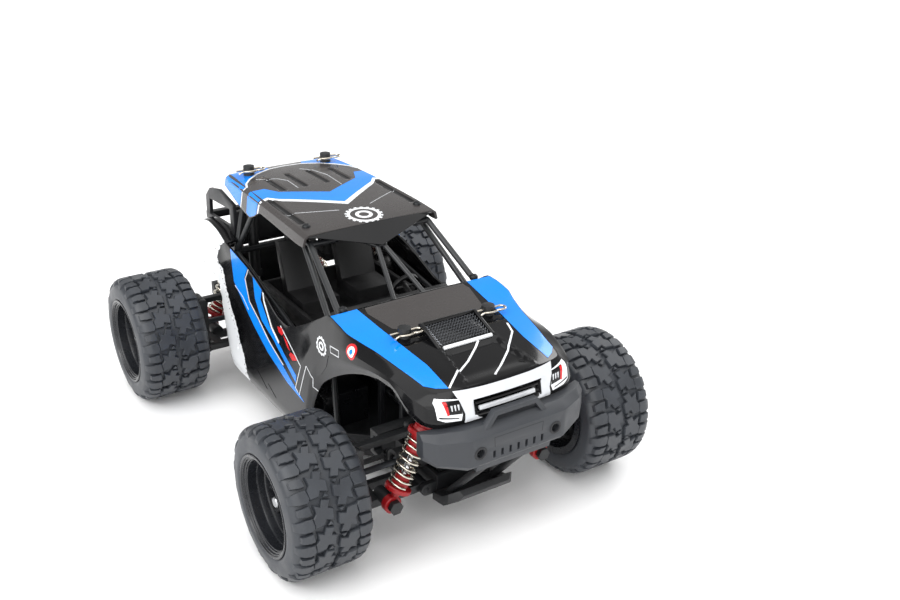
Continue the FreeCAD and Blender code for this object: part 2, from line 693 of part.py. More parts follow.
hood_rear = front_x - 34.0


def shell_volume(inset):
    """Outer form of the shell, or the form of its hollow when inset by the wall."""
    z = axle_z
    sill = floor_z + 1
    side, waist = sill_half_width, waist_half_width
    nose = front_x + front_overhang - 9
    hood, lip = z + belt_dz, z + nose_dz
    stations = [
        (rear_x - 21 + inset, [(44, sill), (45, z + 33), (44, z + 42), (41, z + 48), (0, z + 48)]),
        (rear_x + 2, [(45, sill), (47, z + 38), (46, z + 56), (42, z + 62), (0, z + 62)]),
        (rear_x + 36, [(side, sill), (waist, z + 25), (46, z + 55), (43, hood - 1), (0, hood - 1)]),
        (hood_rear - 42, [(side, sill), (waist, z + 25), (46.5, z + 50), (45, hood), (0, hood)]),
        (hood_rear, [(side, sill), (waist, z + 25), (46, z + 57), (44.3, hood), (0, hood + 0.3)]),
        (front_x - 7, [(45, sill), (45.5, z + 47), (44.5, z + 56), (39, hood - 2.8), (0, hood - 2.3)]),
        (front_x + 16, [(44, sill), (44.5, z + 45), (43, z + 53), (35, hood - 5.4), (0, hood - 4.8)]),
        (front_x + 36, [(38, sill), (39, z + 42), (37, z + 51.5), (31.5, lip - 0.5), (0, lip)]),
        (nose - inset, [(21, sill), (24, z + 42), (22, z + 46), (20, z + 50), (0, z + 50.5)]),
    ]
    sections = []
    for x, half in stations:
        half = [(half[0][0], sill - 4 * inset)] + half[1:3] + [(y, h - inset) for y, h in half[3:]]
        sections.append(full_section([(x, max(y - inset, 0), h) for y, h in half]))
    return loft(sections)


def cab_opening():
    """Side view of the open cab, from the shoulder line down along the belt line."""
    z = axle_z
    outline = [(hood_rear, z + 62), (hood_rear - 40, z + 42.5), (hood_rear - 68, z + 45),
               (hood_rear - 91, z + 55), (rear_x + 33, z + 58), (rear_x + 33, z + 80), (hood_rear, z + 80)]
    return side_plate(outline, -60, 60)


def front_arch():
    z, x = axle_z, front_x
    outline = [(x - 51, z - 30), (x - 51, z + 13), (x - 42, z + 25), (x - 23, z + 38.5), (x, z + 47),
               (x + 17, z + 48.5), (x + 29, z + 43.5), (x + 38, z + 41), (x + 60, z + 41), (x + 60, z - 30)]
    return side_plate(outline, -60, 60)


def rear_arch():
    z, x = axle_z, rear_x
    outline = [(x + 34, z - 30), (x + 33, z - 12), (x + 27, z), (x + 20, z + 29), (x + 8, z + 34),
               (x - 12, z + 35), (x - 22, z + 42), (x - 40, z + 42), (x - 40, z - 30)]
    return side_plate(outline, -60, 60)


def body_shell():
    z = axle_z
    outer = shell_volume(0)
    shell = outer.cut(shell_volume(shell_wall))
    bed = block(rear_x - 40, rear_x + 34, -40, 40, z + 44, z + 80)
    for opening in (cab_opening(), front_arch(), rear_arch(), bed):
        shell = shell.cut(opening)
    nose = front_x + front_overhang
    grille = block(nose - 20, nose, -16, 16, z + 42.5, z + 47.5)
    shell = shell.cut(grille)
    scoop_x = front_x - 5
    top = z + belt_dz - 0.5
    ramp = [(scoop_x, top - 5), (scoop_x, top), (scoop_x + 14.5, top - 1.5), (scoop_x + 17, top - 6)]
    scoop = side_plate(ramp, -15, 15)
    shell = merge(shell, scoop.cut(shell_volume(shell_wall)))
    for side in (1, -1):
        post = rod((front_x + hood_post_dx, side * hood_post_y, z + 40),
                   (front_x + hood_post_dx, side * hood_post_y, z + 75), post_radius + gap)
        shell = shell.cut(post)
    return shell


# --- roof, cage and interior

roof_front = front_x - 72.3
roof_rear = rear_x + 4.8


def roof_volume(inset):
    z = axle_z + roof_dz
    w = inset
    drop = 6 * (inset > 0)
    stations = [
        (roof_rear + w, 32.6, -0.5, 80.0), (roof_rear + 20, 34.5, 0.5, 75.5),
        (roof_rear + 38, 35.5, 1.2, 75.5), (roof_front - 9.5, roof_half_width, 0.8, 81.0),
        (roof_front - w, roof_half_width, 0, 85.0),
    ]
    sections = []
    for x, half, rise, low in stations:
        base = axle_z + low - drop
        points = [(x, half + 1 - w, base), (x, half - w, z + rise - 1.5 - w),
                  (x, half - 2 - w, z + rise - w), (x, 0, z + rise + 0.8 - w)]
        sections.append(full_section(points))
    return loft(sections)


def roof_panel():
    z = axle_z + roof_dz
    roof = roof_volume(0).cut(roof_volume(shell_wall))
    corner_x, corner_y = roof_front - 1, roof_half_width - 1
    visor_edge = [(corner_x, -corner_y, z - 1), (corner_x, corner_y, z - 1), (roof_front + 10.2, 0, z - 8.6)]
    visor = plate(visor_edge, (0.9, 0, 1.2))
    ribs = [block(roof_front - 50, roof_front - 13, y - 1.2, y + 1.2, z - 0.5, z + 2.2)
            for y in (-30.5, -11.0, 11.0, 30.5)]
    roof = merge(roof, visor, *ribs)
    for side in (1, -1):
        x, y = rear_x + roof_post_dx, side * roof_post_y
        roof = roof.cut(rod((x, y, z - 12), (x, y, z + 8), post_radius + gap))
        x = roof_front - 9.4
        roof = roof.cut(rod((x, side * 31.3, z - 6), (x, side * 31.3, z + 4), 0.9))
    return roof


def tube(points, radius):
    """Bent tube through points with a ball at each corner."""
    pieces = [rod(a, b, radius) for a, b in zip(points, points[1:])]
    pieces += [Part.makeSphere(radius, V(*p)) for p in points]
    return pieces


def roll_cage():
    z = axle_z
    rail_z = z + roof_dz - 6.0
    front_top = (roof_front - 2, 33.0, rail_z)
    rear_top = (rear_x + 24, 30.5, rail_z)
    foot = (hood_rear - 0.5, 38.0, z + 59.5)
    second_foot = (hood_rear - 12, 38.5, z + 55)
    belt_mid = (hood_rear - 44, 42.0, z + 37)
    belt_rear = (rear_x + 27, 38.5, z + 51)
    floor_front = (hood_rear - 16, 33.5, deck_z + 2.0)
    floor_rear = (rear_x + 46, 33.5, deck_z + 2.0)
    pieces = tube([floor_rear, belt_rear, rear_top, front_top, foot, second_foot, floor_front], cage_tube)
    pieces += tube([(roof_front - 12, 32.6, rail_z), second_foot, belt_mid, belt_rear], cage_tube)
    pieces += tube([(rear_x + 42, 31.0, rail_z), belt_rear], cage_tube)
    pieces += [rod((x, y, deck_z), (x, y, deck_z + 1.5), 2.6) for x, y, _ in (floor_front, floor_rear)]
    frame = merge(*pieces)
    across = [rod((p[0], -p[1], p[2]), p, cage_tube) for p in (front_top, rear_top, foot, belt_rear)]
    visor = (roof_front + 7.5, 1.8, z + 78.4)
    bars = []
    for side in (1, -1):
        start = (visor[0], side * visor[1], visor[2])
        bars += tube([start, (hood_rear - 0.5, side * 9.0, z + 59.5)], cage_tube - 0.3)
        bars += tube([start, (roof_front - 2, side * 12.0, rail_z)], cage_tube - 0.3)
    bars.append(rod((visor[0], -1.8, visor[2]), visor, cage_tube - 0.3))
    return merge(frame, mirrored(frame), *across, *bars)


def cockpit_tray():
    z = axle_z
    x0, x1 = rear_x + 47, hood_rear - 18
    outer = block(x0, x1, -33, 33, z + 30, z + 40)
    tray = outer.cut(block(x0 + 2, x1 - 2, -31, 31, z + 32, z + 45))
    dash = [(x1 - 1, z + 35), (x1 + 6, z + 52), (x1 - 2, z + 55), (x1 - 9, z + 50), (x1 - 7, z + 31)]
    pieces = [side_plate(dash, -31.5, 31.5)]
    for side in (1, -1):
        y0, y1 = side * 16 - 10.5, side * 16 + 10.5
        pieces.append(block(x0 + 12, x0 + 36, y0, y1, z + 31, z + 39))
        back = [(x0 + 12, z + 38), (x0 + 18, z + 38), (x0 + 9, z + 64), (x0 + 4, z + 64)]
        pieces.append(side_plate(back, y0, y1))
        rest = [(x0 + 4.5, z + 63), (x0 + 8.5, z + 63), (x0 + 6.5, z + 72), (x0 + 2.5, z + 72)]
        pieces.append(side_plate(rest, side * 16 - 5, side * 16 + 5))
    return merge(tray, *pieces, *cockpit_wheel(x1))


def cockpit_wheel(dash_x):
    """Toy steering wheel and its column, moulded with the tray."""
    hub = V(dash_x - 16, 16, axle_z + 51)
    axis = V(-13, 0, 5).normalize()
    column = Part.makeCylinder(1.6, 14, hub + axis, axis * -1)
    inside = Part.makeCylinder(6.2, 4.0, hub - axis * 2, axis)
    ring = Part.makeCylinder(8.0, 2.0, hub - axis, axis).cut(inside)
    across = Part.makeCylinder(0.8, 14.4, V(hub.x, hub.y - 7.2, hub.z), V(0, 1, 0))
    return [column, across, ring]


def rear_deck():
    z = axle_z
    bed = block(rear_x - 19, rear_x + 8, -38, 38, z + 46, z + 48)
    front_panel = block(rear_x + 5, rear_x + 8, -30, 30, z + 48, z + 66)
    outline = [(rear_x - 19, z + 46), (rear_x - 17.5, z + 70), (rear_x - 11, z + 76), (rear_x + 3, z + 79),
               (rear_x + 22, z + 76), (rear_x + 22, z + 70), (rear_x + 22, z + 58), (rear_x + 8, z + 46)]
    window = [(rear_x - 13, z + 60), (rear_x - 12, z + 69.5), (rear_x + 17, z + 72), (rear_x + 17, z + 62)]
    wall = side_plate(outline, 35, 37).cut(side_plate(window, 30, 40))
    tail_bar = block(rear_x - 19, rear_x - 15, -37, 37, z + 56, z + 60)
    leg = block(rear_x - 5, rear_x + 4, 26, 30, z + tower_top_dz - 5, z + 46.5)
    return merge(bed, front_panel, tail_bar, *both_sides(wall), *both_sides(leg))


def body_fasteners():
    top = axle_z + hood_post_top_dz
    roof_top = axle_z + roof_post_top_dz
    hood_post, roof_post = front_x + hood_post_dx, rear_x + roof_post_dx
    clips = [
        body_clip(hood_post, -hood_post_y, top, hood_clip_turn),
        body_clip(hood_post, hood_post_y, top, hood_clip_turn),
        body_clip(roof_post, -roof_post_y, roof_top, 0), body_clip(roof_post, roof_post_y, roof_top, 0),
    ]
    screws = []
    for side in (1, -1):
        x, y, z = roof_front - 9.4, side * 31.3, axle_z + roof_dz + 1.1
        screws.append(merge(rod((x, y, z), (x, y, z + 1.6), 2.2), rod((x, y, z - 4), (x, y, z + 1), 0.8)))
    return clips + screws


def place(shape, axle, side):
    placed = shape.translated(V(axle, 0, axle_z))
    return placed if side > 0 else mirrored(placed)


def wheel_place(shape, axle, side):
    return place(shape.translated(V(0, track / 2, 0)), axle, side)


def save_corner(end, axle, lead):
    for name, side in (("left", 1), ("right", -1)):
        corner = f"{end}_{name}"
        save(f"tyre_{corner}", wheel_place(tyre(), axle, side))
        save(f"wheel_rim_{corner}", *[wheel_place(s, axle, side) for s in (rim(), stub_axle(), wheel_nut())])
        save(f"lower_arm_{corner}", *[place(s, axle, side) for s in lower_arm(lead)])
        save(f"upper_link_{corner}", place(upper_link(), axle, side))
        save(f"driveshaft_{corner}", place(driveshaft(), axle, side))
        save(f"shock_cylinder_{corner}", place(lay_shock(shock_cylinder(), lead), axle, side))
        save(f"shock_rod_{corner}", place(lay_shock(shock_rod(), lead), axle, side))
        coil = place(lay_shock(shock_spring() if side < 0 else mirrored(shock_spring()), lead), axle, -1)
        save(f"shock_spring_{corner}", coil if side < 0 else mirrored(coil))    # all four wound alike
        if end == "front":
            save(f"hub_carrier_{corner}", *[place(s, axle, side) for s in front_carrier()])
            save(f"steering_knuckle_{corner}", place(knuckle(), axle, side))
            save(f"tie_rod_{corner}", place(tie_rod(), axle, side))
        else:
            save(f"hub_carrier_{corner}", *[place(s, axle, side) for s in rear_carrier()])


os.makedirs(OUT, exist_ok=True)
save_corner("front", front_x, 1)
save_corner("rear", rear_x, -1)
save("chassis_tub", chassis_tub())
save("gearbox_cases", gearbox(front_x), gearbox(rear_x), *link_pins(front_x), *link_pins(rear_x))
save("shock_towers", front_tower(), rear_tower())
save("front_bumper", bumper())
save("skid_plates", front_skid(), rear_skid())
save("centre_shaft", *centre_shaft())
save("motor_pinion", motor_pinion())
save("drive_motor", drive_motor())
save("battery_pack", battery_pack())
save("control_board", control_board())
save("steering_servo", steering_servo())
save("servo_horn", servo_horn())
save("steering_rack", steering_rack())
save("power_switch", power_switch())
save("body_shell", body_shell())
save("roof_panel", roof_panel())
save("roll_cage", roll_cage())
save("cockpit_tray", cockpit_tray())
save("rear_deck", rear_deck())
save("body_fasteners", *body_fasteners())
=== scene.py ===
import json
import math
import random

import bmesh
import bpy
from mathutils import Matrix, Vector
from mathutils.bvhtree import BVHTree

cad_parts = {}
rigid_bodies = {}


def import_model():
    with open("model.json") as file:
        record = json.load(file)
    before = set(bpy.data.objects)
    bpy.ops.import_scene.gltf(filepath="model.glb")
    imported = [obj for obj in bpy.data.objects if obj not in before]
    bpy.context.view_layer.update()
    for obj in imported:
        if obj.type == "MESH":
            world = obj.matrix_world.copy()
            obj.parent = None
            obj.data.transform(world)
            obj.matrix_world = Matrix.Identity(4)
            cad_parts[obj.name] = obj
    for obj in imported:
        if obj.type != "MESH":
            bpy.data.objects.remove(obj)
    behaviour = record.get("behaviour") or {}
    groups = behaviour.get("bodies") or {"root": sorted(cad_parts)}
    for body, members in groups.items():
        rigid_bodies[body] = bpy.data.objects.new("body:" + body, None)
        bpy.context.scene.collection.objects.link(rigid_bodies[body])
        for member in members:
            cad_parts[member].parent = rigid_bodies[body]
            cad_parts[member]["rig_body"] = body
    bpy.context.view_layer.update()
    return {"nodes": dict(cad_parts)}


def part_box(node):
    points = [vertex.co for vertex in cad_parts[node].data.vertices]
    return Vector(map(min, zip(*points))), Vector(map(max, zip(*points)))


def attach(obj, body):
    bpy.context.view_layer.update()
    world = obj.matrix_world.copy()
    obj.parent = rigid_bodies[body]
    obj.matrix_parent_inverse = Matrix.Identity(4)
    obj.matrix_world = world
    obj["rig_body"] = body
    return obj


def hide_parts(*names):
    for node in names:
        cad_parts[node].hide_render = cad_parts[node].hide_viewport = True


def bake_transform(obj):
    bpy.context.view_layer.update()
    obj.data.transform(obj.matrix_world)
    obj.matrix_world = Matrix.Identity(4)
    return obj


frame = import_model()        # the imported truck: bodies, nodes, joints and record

# Tyres: soft black rubber moulded in one piece, an open carcass with a bead at each rim lip
# and interlocking blocks all round. Every size is in millimetres, and x counts from the
# middle of the wheelbase, y from the centre line to the left and z from the ground.
tyre_low, tyre_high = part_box("tyre_front_left")
rear_low, rear_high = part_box("tyre_rear_left")
mid_x = (tyre_low.x + tyre_high.x + rear_low.x + rear_high.x) / 4 * 1000
half_base = (tyre_low.x + tyre_high.x - rear_low.x - rear_high.x) / 4 * 1000
half_track = (tyre_low.y + tyre_high.y) / 2 * 1000
axle_z = (tyre_low.z + tyre_high.z) / 2 * 1000
tyre_radius = (tyre_high.z - tyre_low.z) / 2 * 1000
CORNERS = [(end, name, (1 if end == "front" else -1) * half_base, 1 if name == "left" else -1)
           for end in ("front", "rear") for name in ("left", "right")]


def at(x, y, z):
    """Millimetres on the truck to metres in the frame."""
    return Vector(((x + mid_x) / 1000, y / 1000, z / 1000))


def colour(hexa):
    """sRGB hex to the linear colour that shaders take."""
    parts = [int(hexa[i:i + 2], 16) / 255 for i in (1, 3, 5)]
    return [p / 12.92 if p <= 0.04045 else ((p + 0.055) / 1.055) ** 2.4 for p in parts] + [1.0]


def add(tree, kind, sockets=(), **settings):
    """One node with its settings; a socket's value is a number, a colour or another node's output."""
    node = tree.nodes.new(kind)
    for key, value in settings.items():
        setattr(node, key, value)
    for key, value in dict(sockets).items():
        if isinstance(value, bpy.types.NodeSocket):
            tree.links.new(value, node.inputs[key])
        else:
            node.inputs[key].default_value = value
    return node


def surface(name, tone, second, rough, spread=0.08, grain=0.4, depth=0.02, metal=0.0, coat=0.0, blotch=9.0,
            shine=0.5):
    """A finish with two close tones in soft patches, a fine grain in millimetres and uneven gloss."""
    material = bpy.data.materials.new(name)
    material.use_nodes = True
    tree = material.node_tree
    tree.nodes.clear()
    place = add(tree, "ShaderNodeTexCoord").outputs["Object"]
    patch = add(tree, "ShaderNodeTexNoise", {"Vector": place, "Scale": 1000 / blotch, "Detail": 4.0})
    mix = add(tree, "ShaderNodeMix", {"Factor": patch.outputs["Fac"]}, data_type="RGBA")
    mix.inputs["A"].default_value, mix.inputs["B"].default_value = colour(tone), colour(second)
    gloss = add(tree, "ShaderNodeMapRange", {
        "Value": patch.outputs["Fac"], "From Min": 0.3, "From Max": 0.7,
        "To Min": max(rough - spread, 0.02), "To Max": rough + spread})
    fine = add(tree, "ShaderNodeTexNoise", {"Vector": place, "Scale": 1000 / grain, "Detail": 3.0})
    bump = add(tree, "ShaderNodeBump", {"Height": fine.outputs["Fac"], "Strength": 1.0,
                                            "Distance": depth / 1000})
    shader = add(tree, "ShaderNodeBsdfPrincipled", {
        "Base Color": mix.outputs["Result"], "Roughness": gloss.outputs["Result"],
        "Normal": bump.outputs["Normal"], "Metallic": metal, "Coat Weight": coat, "Coat Roughness": 0.04,
        "Specular IOR Level": shine})
    add(tree, "ShaderNodeOutputMaterial", {"Surface": shader.outputs["BSDF"]})
    return material


def lathe(profile, steps=72):
    """Closed (radius, y) outline turned about the Y axis."""
    count = len(profile)
    points, faces = [], []
    for k in range(steps):
        a = 2 * math.pi * k / steps
        points += [(r * math.sin(a), y, r * math.cos(a)) for r, y in profile]
    for k in range(steps):
        near, far = k * count, (k + 1) % steps * count
        faces += [(near + i, near + (i + 1) % count, far + (i + 1) % count, far + i) for i in range(count)]
    return points, faces


def joined(*forms):
    """Several forms as one."""
    points, faces = [], []
    for some, rings in forms:
        faces += [tuple(i + len(points) for i in ring) for ring in rings]
        points += some
    return points, faces


def moved(form, change):
    """The form with every point passed through a change of place."""
    return [tuple(change(*p)) for p in form[0]], form[1]


def form_of(shape):
    """A bmesh as a plain form of points and faces; the bmesh is freed."""
    shape.verts.index_update()
    form = [tuple(v.co) for v in shape.verts], [tuple(v.index for v in f.verts) for f in shape.faces]
    shape.free()
    return form


def softened(form, width, angle=30, segments=2):
    """The form with every edge sharper than the angle rounded over by a width."""
    shape = bmesh.new()
    corners = [shape.verts.new(p) for p in form[0]]
    for ring in form[1]:
        shape.faces.new([corners[i] for i in ring])
    bmesh.ops.remove_doubles(shape, verts=shape.verts, dist=0.001)
    bmesh.ops.recalc_face_normals(shape, faces=shape.faces)
    sharp = [e for e in shape.edges if e.is_manifold and e.calc_face_angle(0) > math.radians(angle)]
    bmesh.ops.bevel(shape, geom=sharp, offset=width, offset_type="OFFSET", segments=segments,
                    profile=0.5, affect="EDGES", clamp_overlap=True)
    return form_of(shape)


def placed(name, data):
    """An object of the data, linked into the scene."""
    thing = bpy.data.objects.new(name, data)
    bpy.context.scene.collection.objects.link(thing)
    return thing


def evaluated(piece):
    """The piece's mesh with its modifiers worked out."""
    bpy.context.view_layer.update()
    return bpy.data.meshes.new_from_object(piece.evaluated_get(bpy.context.evaluated_depsgraph_get()))


def shaded(mesh, sharp):
    """Smooth faces that meet at a sharp edge past an angle in degrees."""
    mesh.polygons.foreach_set("use_smooth", [True] * len(mesh.polygons))
    mesh.set_sharp_from_angle(angle=math.radians(sharp))


def make(name, form, finish, body, stands_for=(), sharp=38):
    """A finished piece from a form in millimetres, riding on its CAD body."""
    mesh = bpy.data.meshes.new(name)
    mesh.from_pydata([at(*p) for p in form[0]], [], form[1])
    tidy = bmesh.new()
    tidy.from_mesh(mesh)
    bmesh.ops.remove_doubles(tidy, verts=tidy.verts, dist=1e-6)
    bmesh.ops.dissolve_degenerate(tidy, edges=tidy.edges, dist=1e-7)
    bmesh.ops.recalc_face_normals(tidy, faces=tidy.faces)
    tidy.to_mesh(mesh)
    tidy.free()
    shaded(mesh, sharp)
    mesh.materials.append(finish)
    piece = placed(name, mesh)
    if stands_for:
        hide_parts(*stands_for)
    if body:
        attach(piece, body)
    return piece


def round_tree():
    """Node tree that repeats a mesh round the Y axis."""
    tree = bpy.data.node_groups.new("repeat_round", "GeometryNodeTree")
    face = tree.interface
    face.new_socket("Mesh", in_out="INPUT", socket_type="NodeSocketGeometry")
    face.new_socket("Count", in_out="INPUT", socket_type="NodeSocketInt")
    face.new_socket("Finish", in_out="INPUT", socket_type="NodeSocketMaterial")
    face.new_socket("Mesh", in_out="OUTPUT", socket_type="NodeSocketGeometry")
    given = add(tree, "NodeGroupInput").outputs
    points = add(tree, "GeometryNodePoints", {"Count": given["Count"]})
    index = add(tree, "GeometryNodeInputIndex")
    share = add(tree, "ShaderNodeMath", {0: index.outputs[0], 1: given["Count"]}, operation="DIVIDE")
    turn = add(tree, "ShaderNodeMath", {0: share.outputs[0], 1: 2 * math.pi}, operation="MULTIPLY")
    axis = add(tree, "ShaderNodeCombineXYZ", {"Y": turn.outputs[0]})
    rotation = add(tree, "FunctionNodeEulerToRotation", {0: axis.outputs[0]})
    copies = add(tree, "GeometryNodeInstanceOnPoints", {
        "Points": points.outputs[0], "Instance": given["Mesh"], "Rotation": rotation.outputs[0]})
    real = add(tree, "GeometryNodeRealizeInstances", {0: copies.outputs[0]})
    paint = add(tree, "GeometryNodeSetMaterial", {"Geometry": real.outputs[0], "Material": given["Finish"]})
    add(tree, "NodeGroupOutput", {0: paint.outputs[0]})
    return tree


def grown(form, tree, values):
    """The form after a node tree has worked on it, as a plain form again."""
    mesh = bpy.data.meshes.new("seed")
    mesh.from_pydata(form[0], [], form[1])
    seed = placed("seed", mesh)
    modifier = seed.modifiers.new("grow", "NODES")
    modifier.node_group = tree
    sockets = {s.name: s.identifier for s in tree.interface.items_tree if s.in_out == "INPUT"}
    for name, value in values.items():
        modifier[sockets[name]] = value
    result = evaluated(seed)
    bpy.data.objects.remove(seed)
    out = [tuple(v.co) for v in result.vertices], [tuple(p.vertices) for p in result.polygons]
    bpy.data.meshes.remove(result)
    return out


lug_count = 18
lug_pitch = 2 * math.pi * tyre_radius / lug_count
crown = [(0, 35.0), (12.5, 35.0), (14.5, 34.75), (16.2, 34.0), (17.6, 32.6), (18.6, 30.6)]
base_drop = 1.6           # height of a block over the carcass
lug_cuts = (-17.4, -16.2, -14.5, -12.5, 12.5, 14.5, 16.2, 17.4)
lug_taper, lug_edge, lug_sink = 0.95, 0.25, 0.02


def crown_radius(w):
    """Radius of the tread at a distance from the middle of the tyre."""
    w = min(abs(w), crown[-1][0])
    for (w0, r0), (w1, r1) in zip(crown, crown[1:]):
        if w <= w1:
            return r0 + (r1 - r0) * (w - w0) / (w1 - w0)
    return crown[-1][1]


def lug(outline):
    """One tread block from its outline along and across the tread, bent round the tyre."""
    shape = bmesh.new()
    shape.faces.new([shape.verts.new((s, w, 0)) for s, w in outline])
    for cut in lug_cuts:
        bmesh.ops.bisect_plane(shape, geom=shape.verts[:] + shape.edges[:] + shape.faces[:],
                               plane_co=(0, cut, 0), plane_no=(0, 1, 0))
    middle = Vector([sum(axis) / len(outline) for axis in zip(*outline)] + [0])
    raised = bmesh.ops.extrude_face_region(shape, geom=shape.faces[:])
    for vert in [v for v in raised["geom"] if isinstance(v, bmesh.types.BMVert)]:
        vert.co = middle + (vert.co - middle) * lug_taper + Vector((0, 0, 1))
    top_edges = [e for e in shape.edges if all(v.co.z > 0.5 for v in e.verts)
                 and e.is_manifold and e.calc_face_angle(0) > 0.6]
    bmesh.ops.bevel(shape, geom=top_edges, offset=lug_edge, offset_type="OFFSET", segments=1, affect="EDGES")
    for vert in shape.verts:
        s, w, h = vert.co
        radius = crown_radius(w) - base_drop * (1 - h) - lug_sink
        angle = s / tyre_radius
        vert.co = (radius * math.sin(angle), w, radius * math.cos(angle))
    return form_of(shape)


puzzle = [(-5.7, -10.0), (-5.4, -5.6), (-3.2, -4.6), (-4.4, -1.0), (0.8, -0.5), (1.7, -2.8), (5.0, -1.3),
          (5.9, -5.0), (3.0, -6.3), (4.6, -9.4), (0.5, -8.8), (-1.3, -10.4)]
chip = [(6.2, -4.3), (6.1, -1.3), (7.9, -2.7)]
shoulder_long = [(-5.4, 10.4), (-1.4, 9.6), (0.2, 10.6), (0.2, 14.0), (-0.8, 18.3), (-4.8, 18.3),
                 (-5.5, 14.0)]
shoulder_short = [(1.3, 10.8), (5.5, 10.0), (5.6, 13.0), (4.8, 16.4), (1.7, 16.4)]
shift = lug_pitch / 2


def turned(outline):
    """The same block on the other half of the tread, half a pitch round."""
    return [(shift - s, -w) for s, w in outline]


blocks = (puzzle, chip, shoulder_long, shoulder_short)
cell = joined(*[lug(o) for block in blocks for o in (block, turned(block))])
rubber = surface("tyre_rubber_moulded", "#2A2C30", "#363A40", 0.44, 0.09, 0.35, 0.03)
tread = grown(cell, round_tree(), {"Count": lug_count, "Finish": rubber})
side = [(23.0, 17.3), (23.6, 18.3), (24.6, 18.9), (26.0, 18.98), (27.6, 18.7), (29.2, 18.6), (30.6, 18.2),
        (31.6, 17.4), (32.3, 16.2), (32.9, 14.4), (33.15, 12.0), (33.15, 6.0)]
inner_side = [(r, -w) for r, w in reversed(side)]
carcass = lathe(side + [(33.15, 0.0)] + inner_side + [(22.02, -17.3), (22.02, 17.3)], 96)
tyre_form = joined(carcass, tread)


def on_wheel(form, x, turn):
    """A form made about a wheel's own centre, outboard side at +Y, put on one corner."""
    return moved(form, lambda a, w, c: (x + a, turn * (half_track + w), axle_z + c))


for end, name, x, turn in CORNERS:
    corner = f"{end}_{name}"
    make(f"tyre_{corner}_moulded", on_wheel(tyre_form, x, turn), rubber, f"wheel_{corner}",
         [f"tyre_{corner}"], sharp=30)

# Wheels: gloss black ABS, a stepped lip and six forked spokes deep inside the barrel, turned on
# a steel stub axle and held by a plated hexagon nut.
rim_black = surface("rim_abs_gloss_black", "#1A1B1E", "#212327", 0.26, 0.05, 0.8, 0.004)
nut_plate = surface("nut_yellow_passivated_zinc", "#C9AE78", "#B79A63", 0.28, 0.06, 0.5, 0.004, metal=1.0)
axle_steel = surface("axle_bright_steel", "#B9BABC", "#A3A5A8", 0.3, 0.06, 0.5, 0.004, metal=1.0)
barrel = [(23.4, 18.2), (23.3, 18.75), (22.8, 18.95), (22.2, 18.8), (21.9, 18.2), (21.5, 18.1), (21.3, 17.4),
          (20.7, 17.2), (20.5, 16.6), (20.2, 16.4), (20.05, 12.4), (19.5, 12.2), (19.3, 11.6), (19.1, 9.0),
          (18.5, 8.6), (18.2, 7.6), (18.0, 4.2), (20.0, 4.0), (20.0, -19.0), (23.5, -19.0), (23.5, -17.5),
          (22.0, -17.5), (22.0, 17.4), (23.4, 17.4)]
hub = [(2.52, -1.0), (6.0, -1.0), (6.0, 3.0), (8.8, 4.2), (8.8, 6.6), (8.2, 7.2), (6.2, 7.4), (6.0, 8.0),
       (2.52, 8.0)]


def prism(outline, y0, y1):
    """An (x, z) outline given thickness along Y."""
    count = len(outline)
    points = [(x, y0, z) for x, z in outline] + [(x, y1, z) for x, z in outline]
    faces = [tuple(range(count)), tuple(range(2 * count - 1, count - 1, -1))]
    faces += [(i, (i + 1) % count, count + (i + 1) % count, count + i) for i in range(count)]
    return points, faces


fork = [prism([(lean * 0.3, 6.5), (lean * 2.6, 6.5), (lean * 5.6, 18.6), (lean * 2.7, 18.9),
               (lean * 0.3, 11.5)],
              4.0, 7.4) for lean in (1, -1)]
half_cos, half_sin = math.cos(math.pi / 6), math.sin(math.pi / 6)   # the spokes start half a step round
spoke = moved(softened(joined(*fork), 0.45),
              lambda a, w, c: (a * half_cos + c * half_sin, w, c * half_cos - a * half_sin))
spokes = grown(spoke, bpy.data.node_groups["repeat_round"], {"Count": 6, "Finish": rim_black})
nut_radius, drive_radius = 3.4, 4.5
six = [(nut_radius * math.cos(math.radians(60 * k)), nut_radius * math.sin(math.radians(60 * k)))
       for k in range(6)]
nut = softened(prism(six, 8.0, 11.0), 0.3)
nut_collar = lathe([(1.6, 10.9), (2.5, 10.9), (2.5, 11.4), (2.2, 11.8), (1.6, 11.8)], 32)
stub = lathe([(0.01, -14.2), (3.7, -14.2), (3.7, -21.5), (5.0, -21.5), (5.0, -13.0), (2.5, -12.6),
              (2.5, 12.4),
              (2.1, 12.9), (0.01, 12.9)], 40)
drive_hex = prism([(x / nut_radius * drive_radius, z / nut_radius * drive_radius) for x, z in six], -4.0,
                  -1.0)
rim_form = joined(lathe(barrel, 96), lathe(hub, 48), spokes)
for end, name, x, turn in CORNERS:
    corner = f"{end}_{name}"
    body = f"wheel_{corner}"
    make(f"rim_{corner}_moulded", on_wheel(rim_form, x, turn), rim_black, body,
         [f"wheel_rim_{corner}"], sharp=30)
    make(f"wheel_nut_{corner}", on_wheel(joined(nut, nut_collar), x, turn), nut_plate, body,
         sharp=30)
    make(f"stub_axle_{corner}", on_wheel(joined(stub, drive_hex), x, turn), axle_steel, body)

# Arms, hub carriers, knuckles, links and tie rods: glass-filled nylon straight from the mould,
# satin black with a fine spark-eroded grain. The drive shafts between them are turned steel.
nylon = surface("arm_glass_filled_nylon", "#151618", "#1E2022", 0.46, 0.08, 0.3, 0.02)


def round_edges(piece, width, angle):
    """Rounds the piece's edges that are sharper than an angle in degrees."""
    edge = piece.modifiers.new("edge", "BEVEL")
    edge.width, edge.segments = width / 1000, 2
    edge.limit_method, edge.angle_limit = "ANGLE", math.radians(angle)


def worked_in(piece, sharp):
    """Turns the piece's modifiers into plain mesh."""
    result = evaluated(piece)
    piece.modifiers.clear()
    piece.data = result
    shaded(result, sharp)


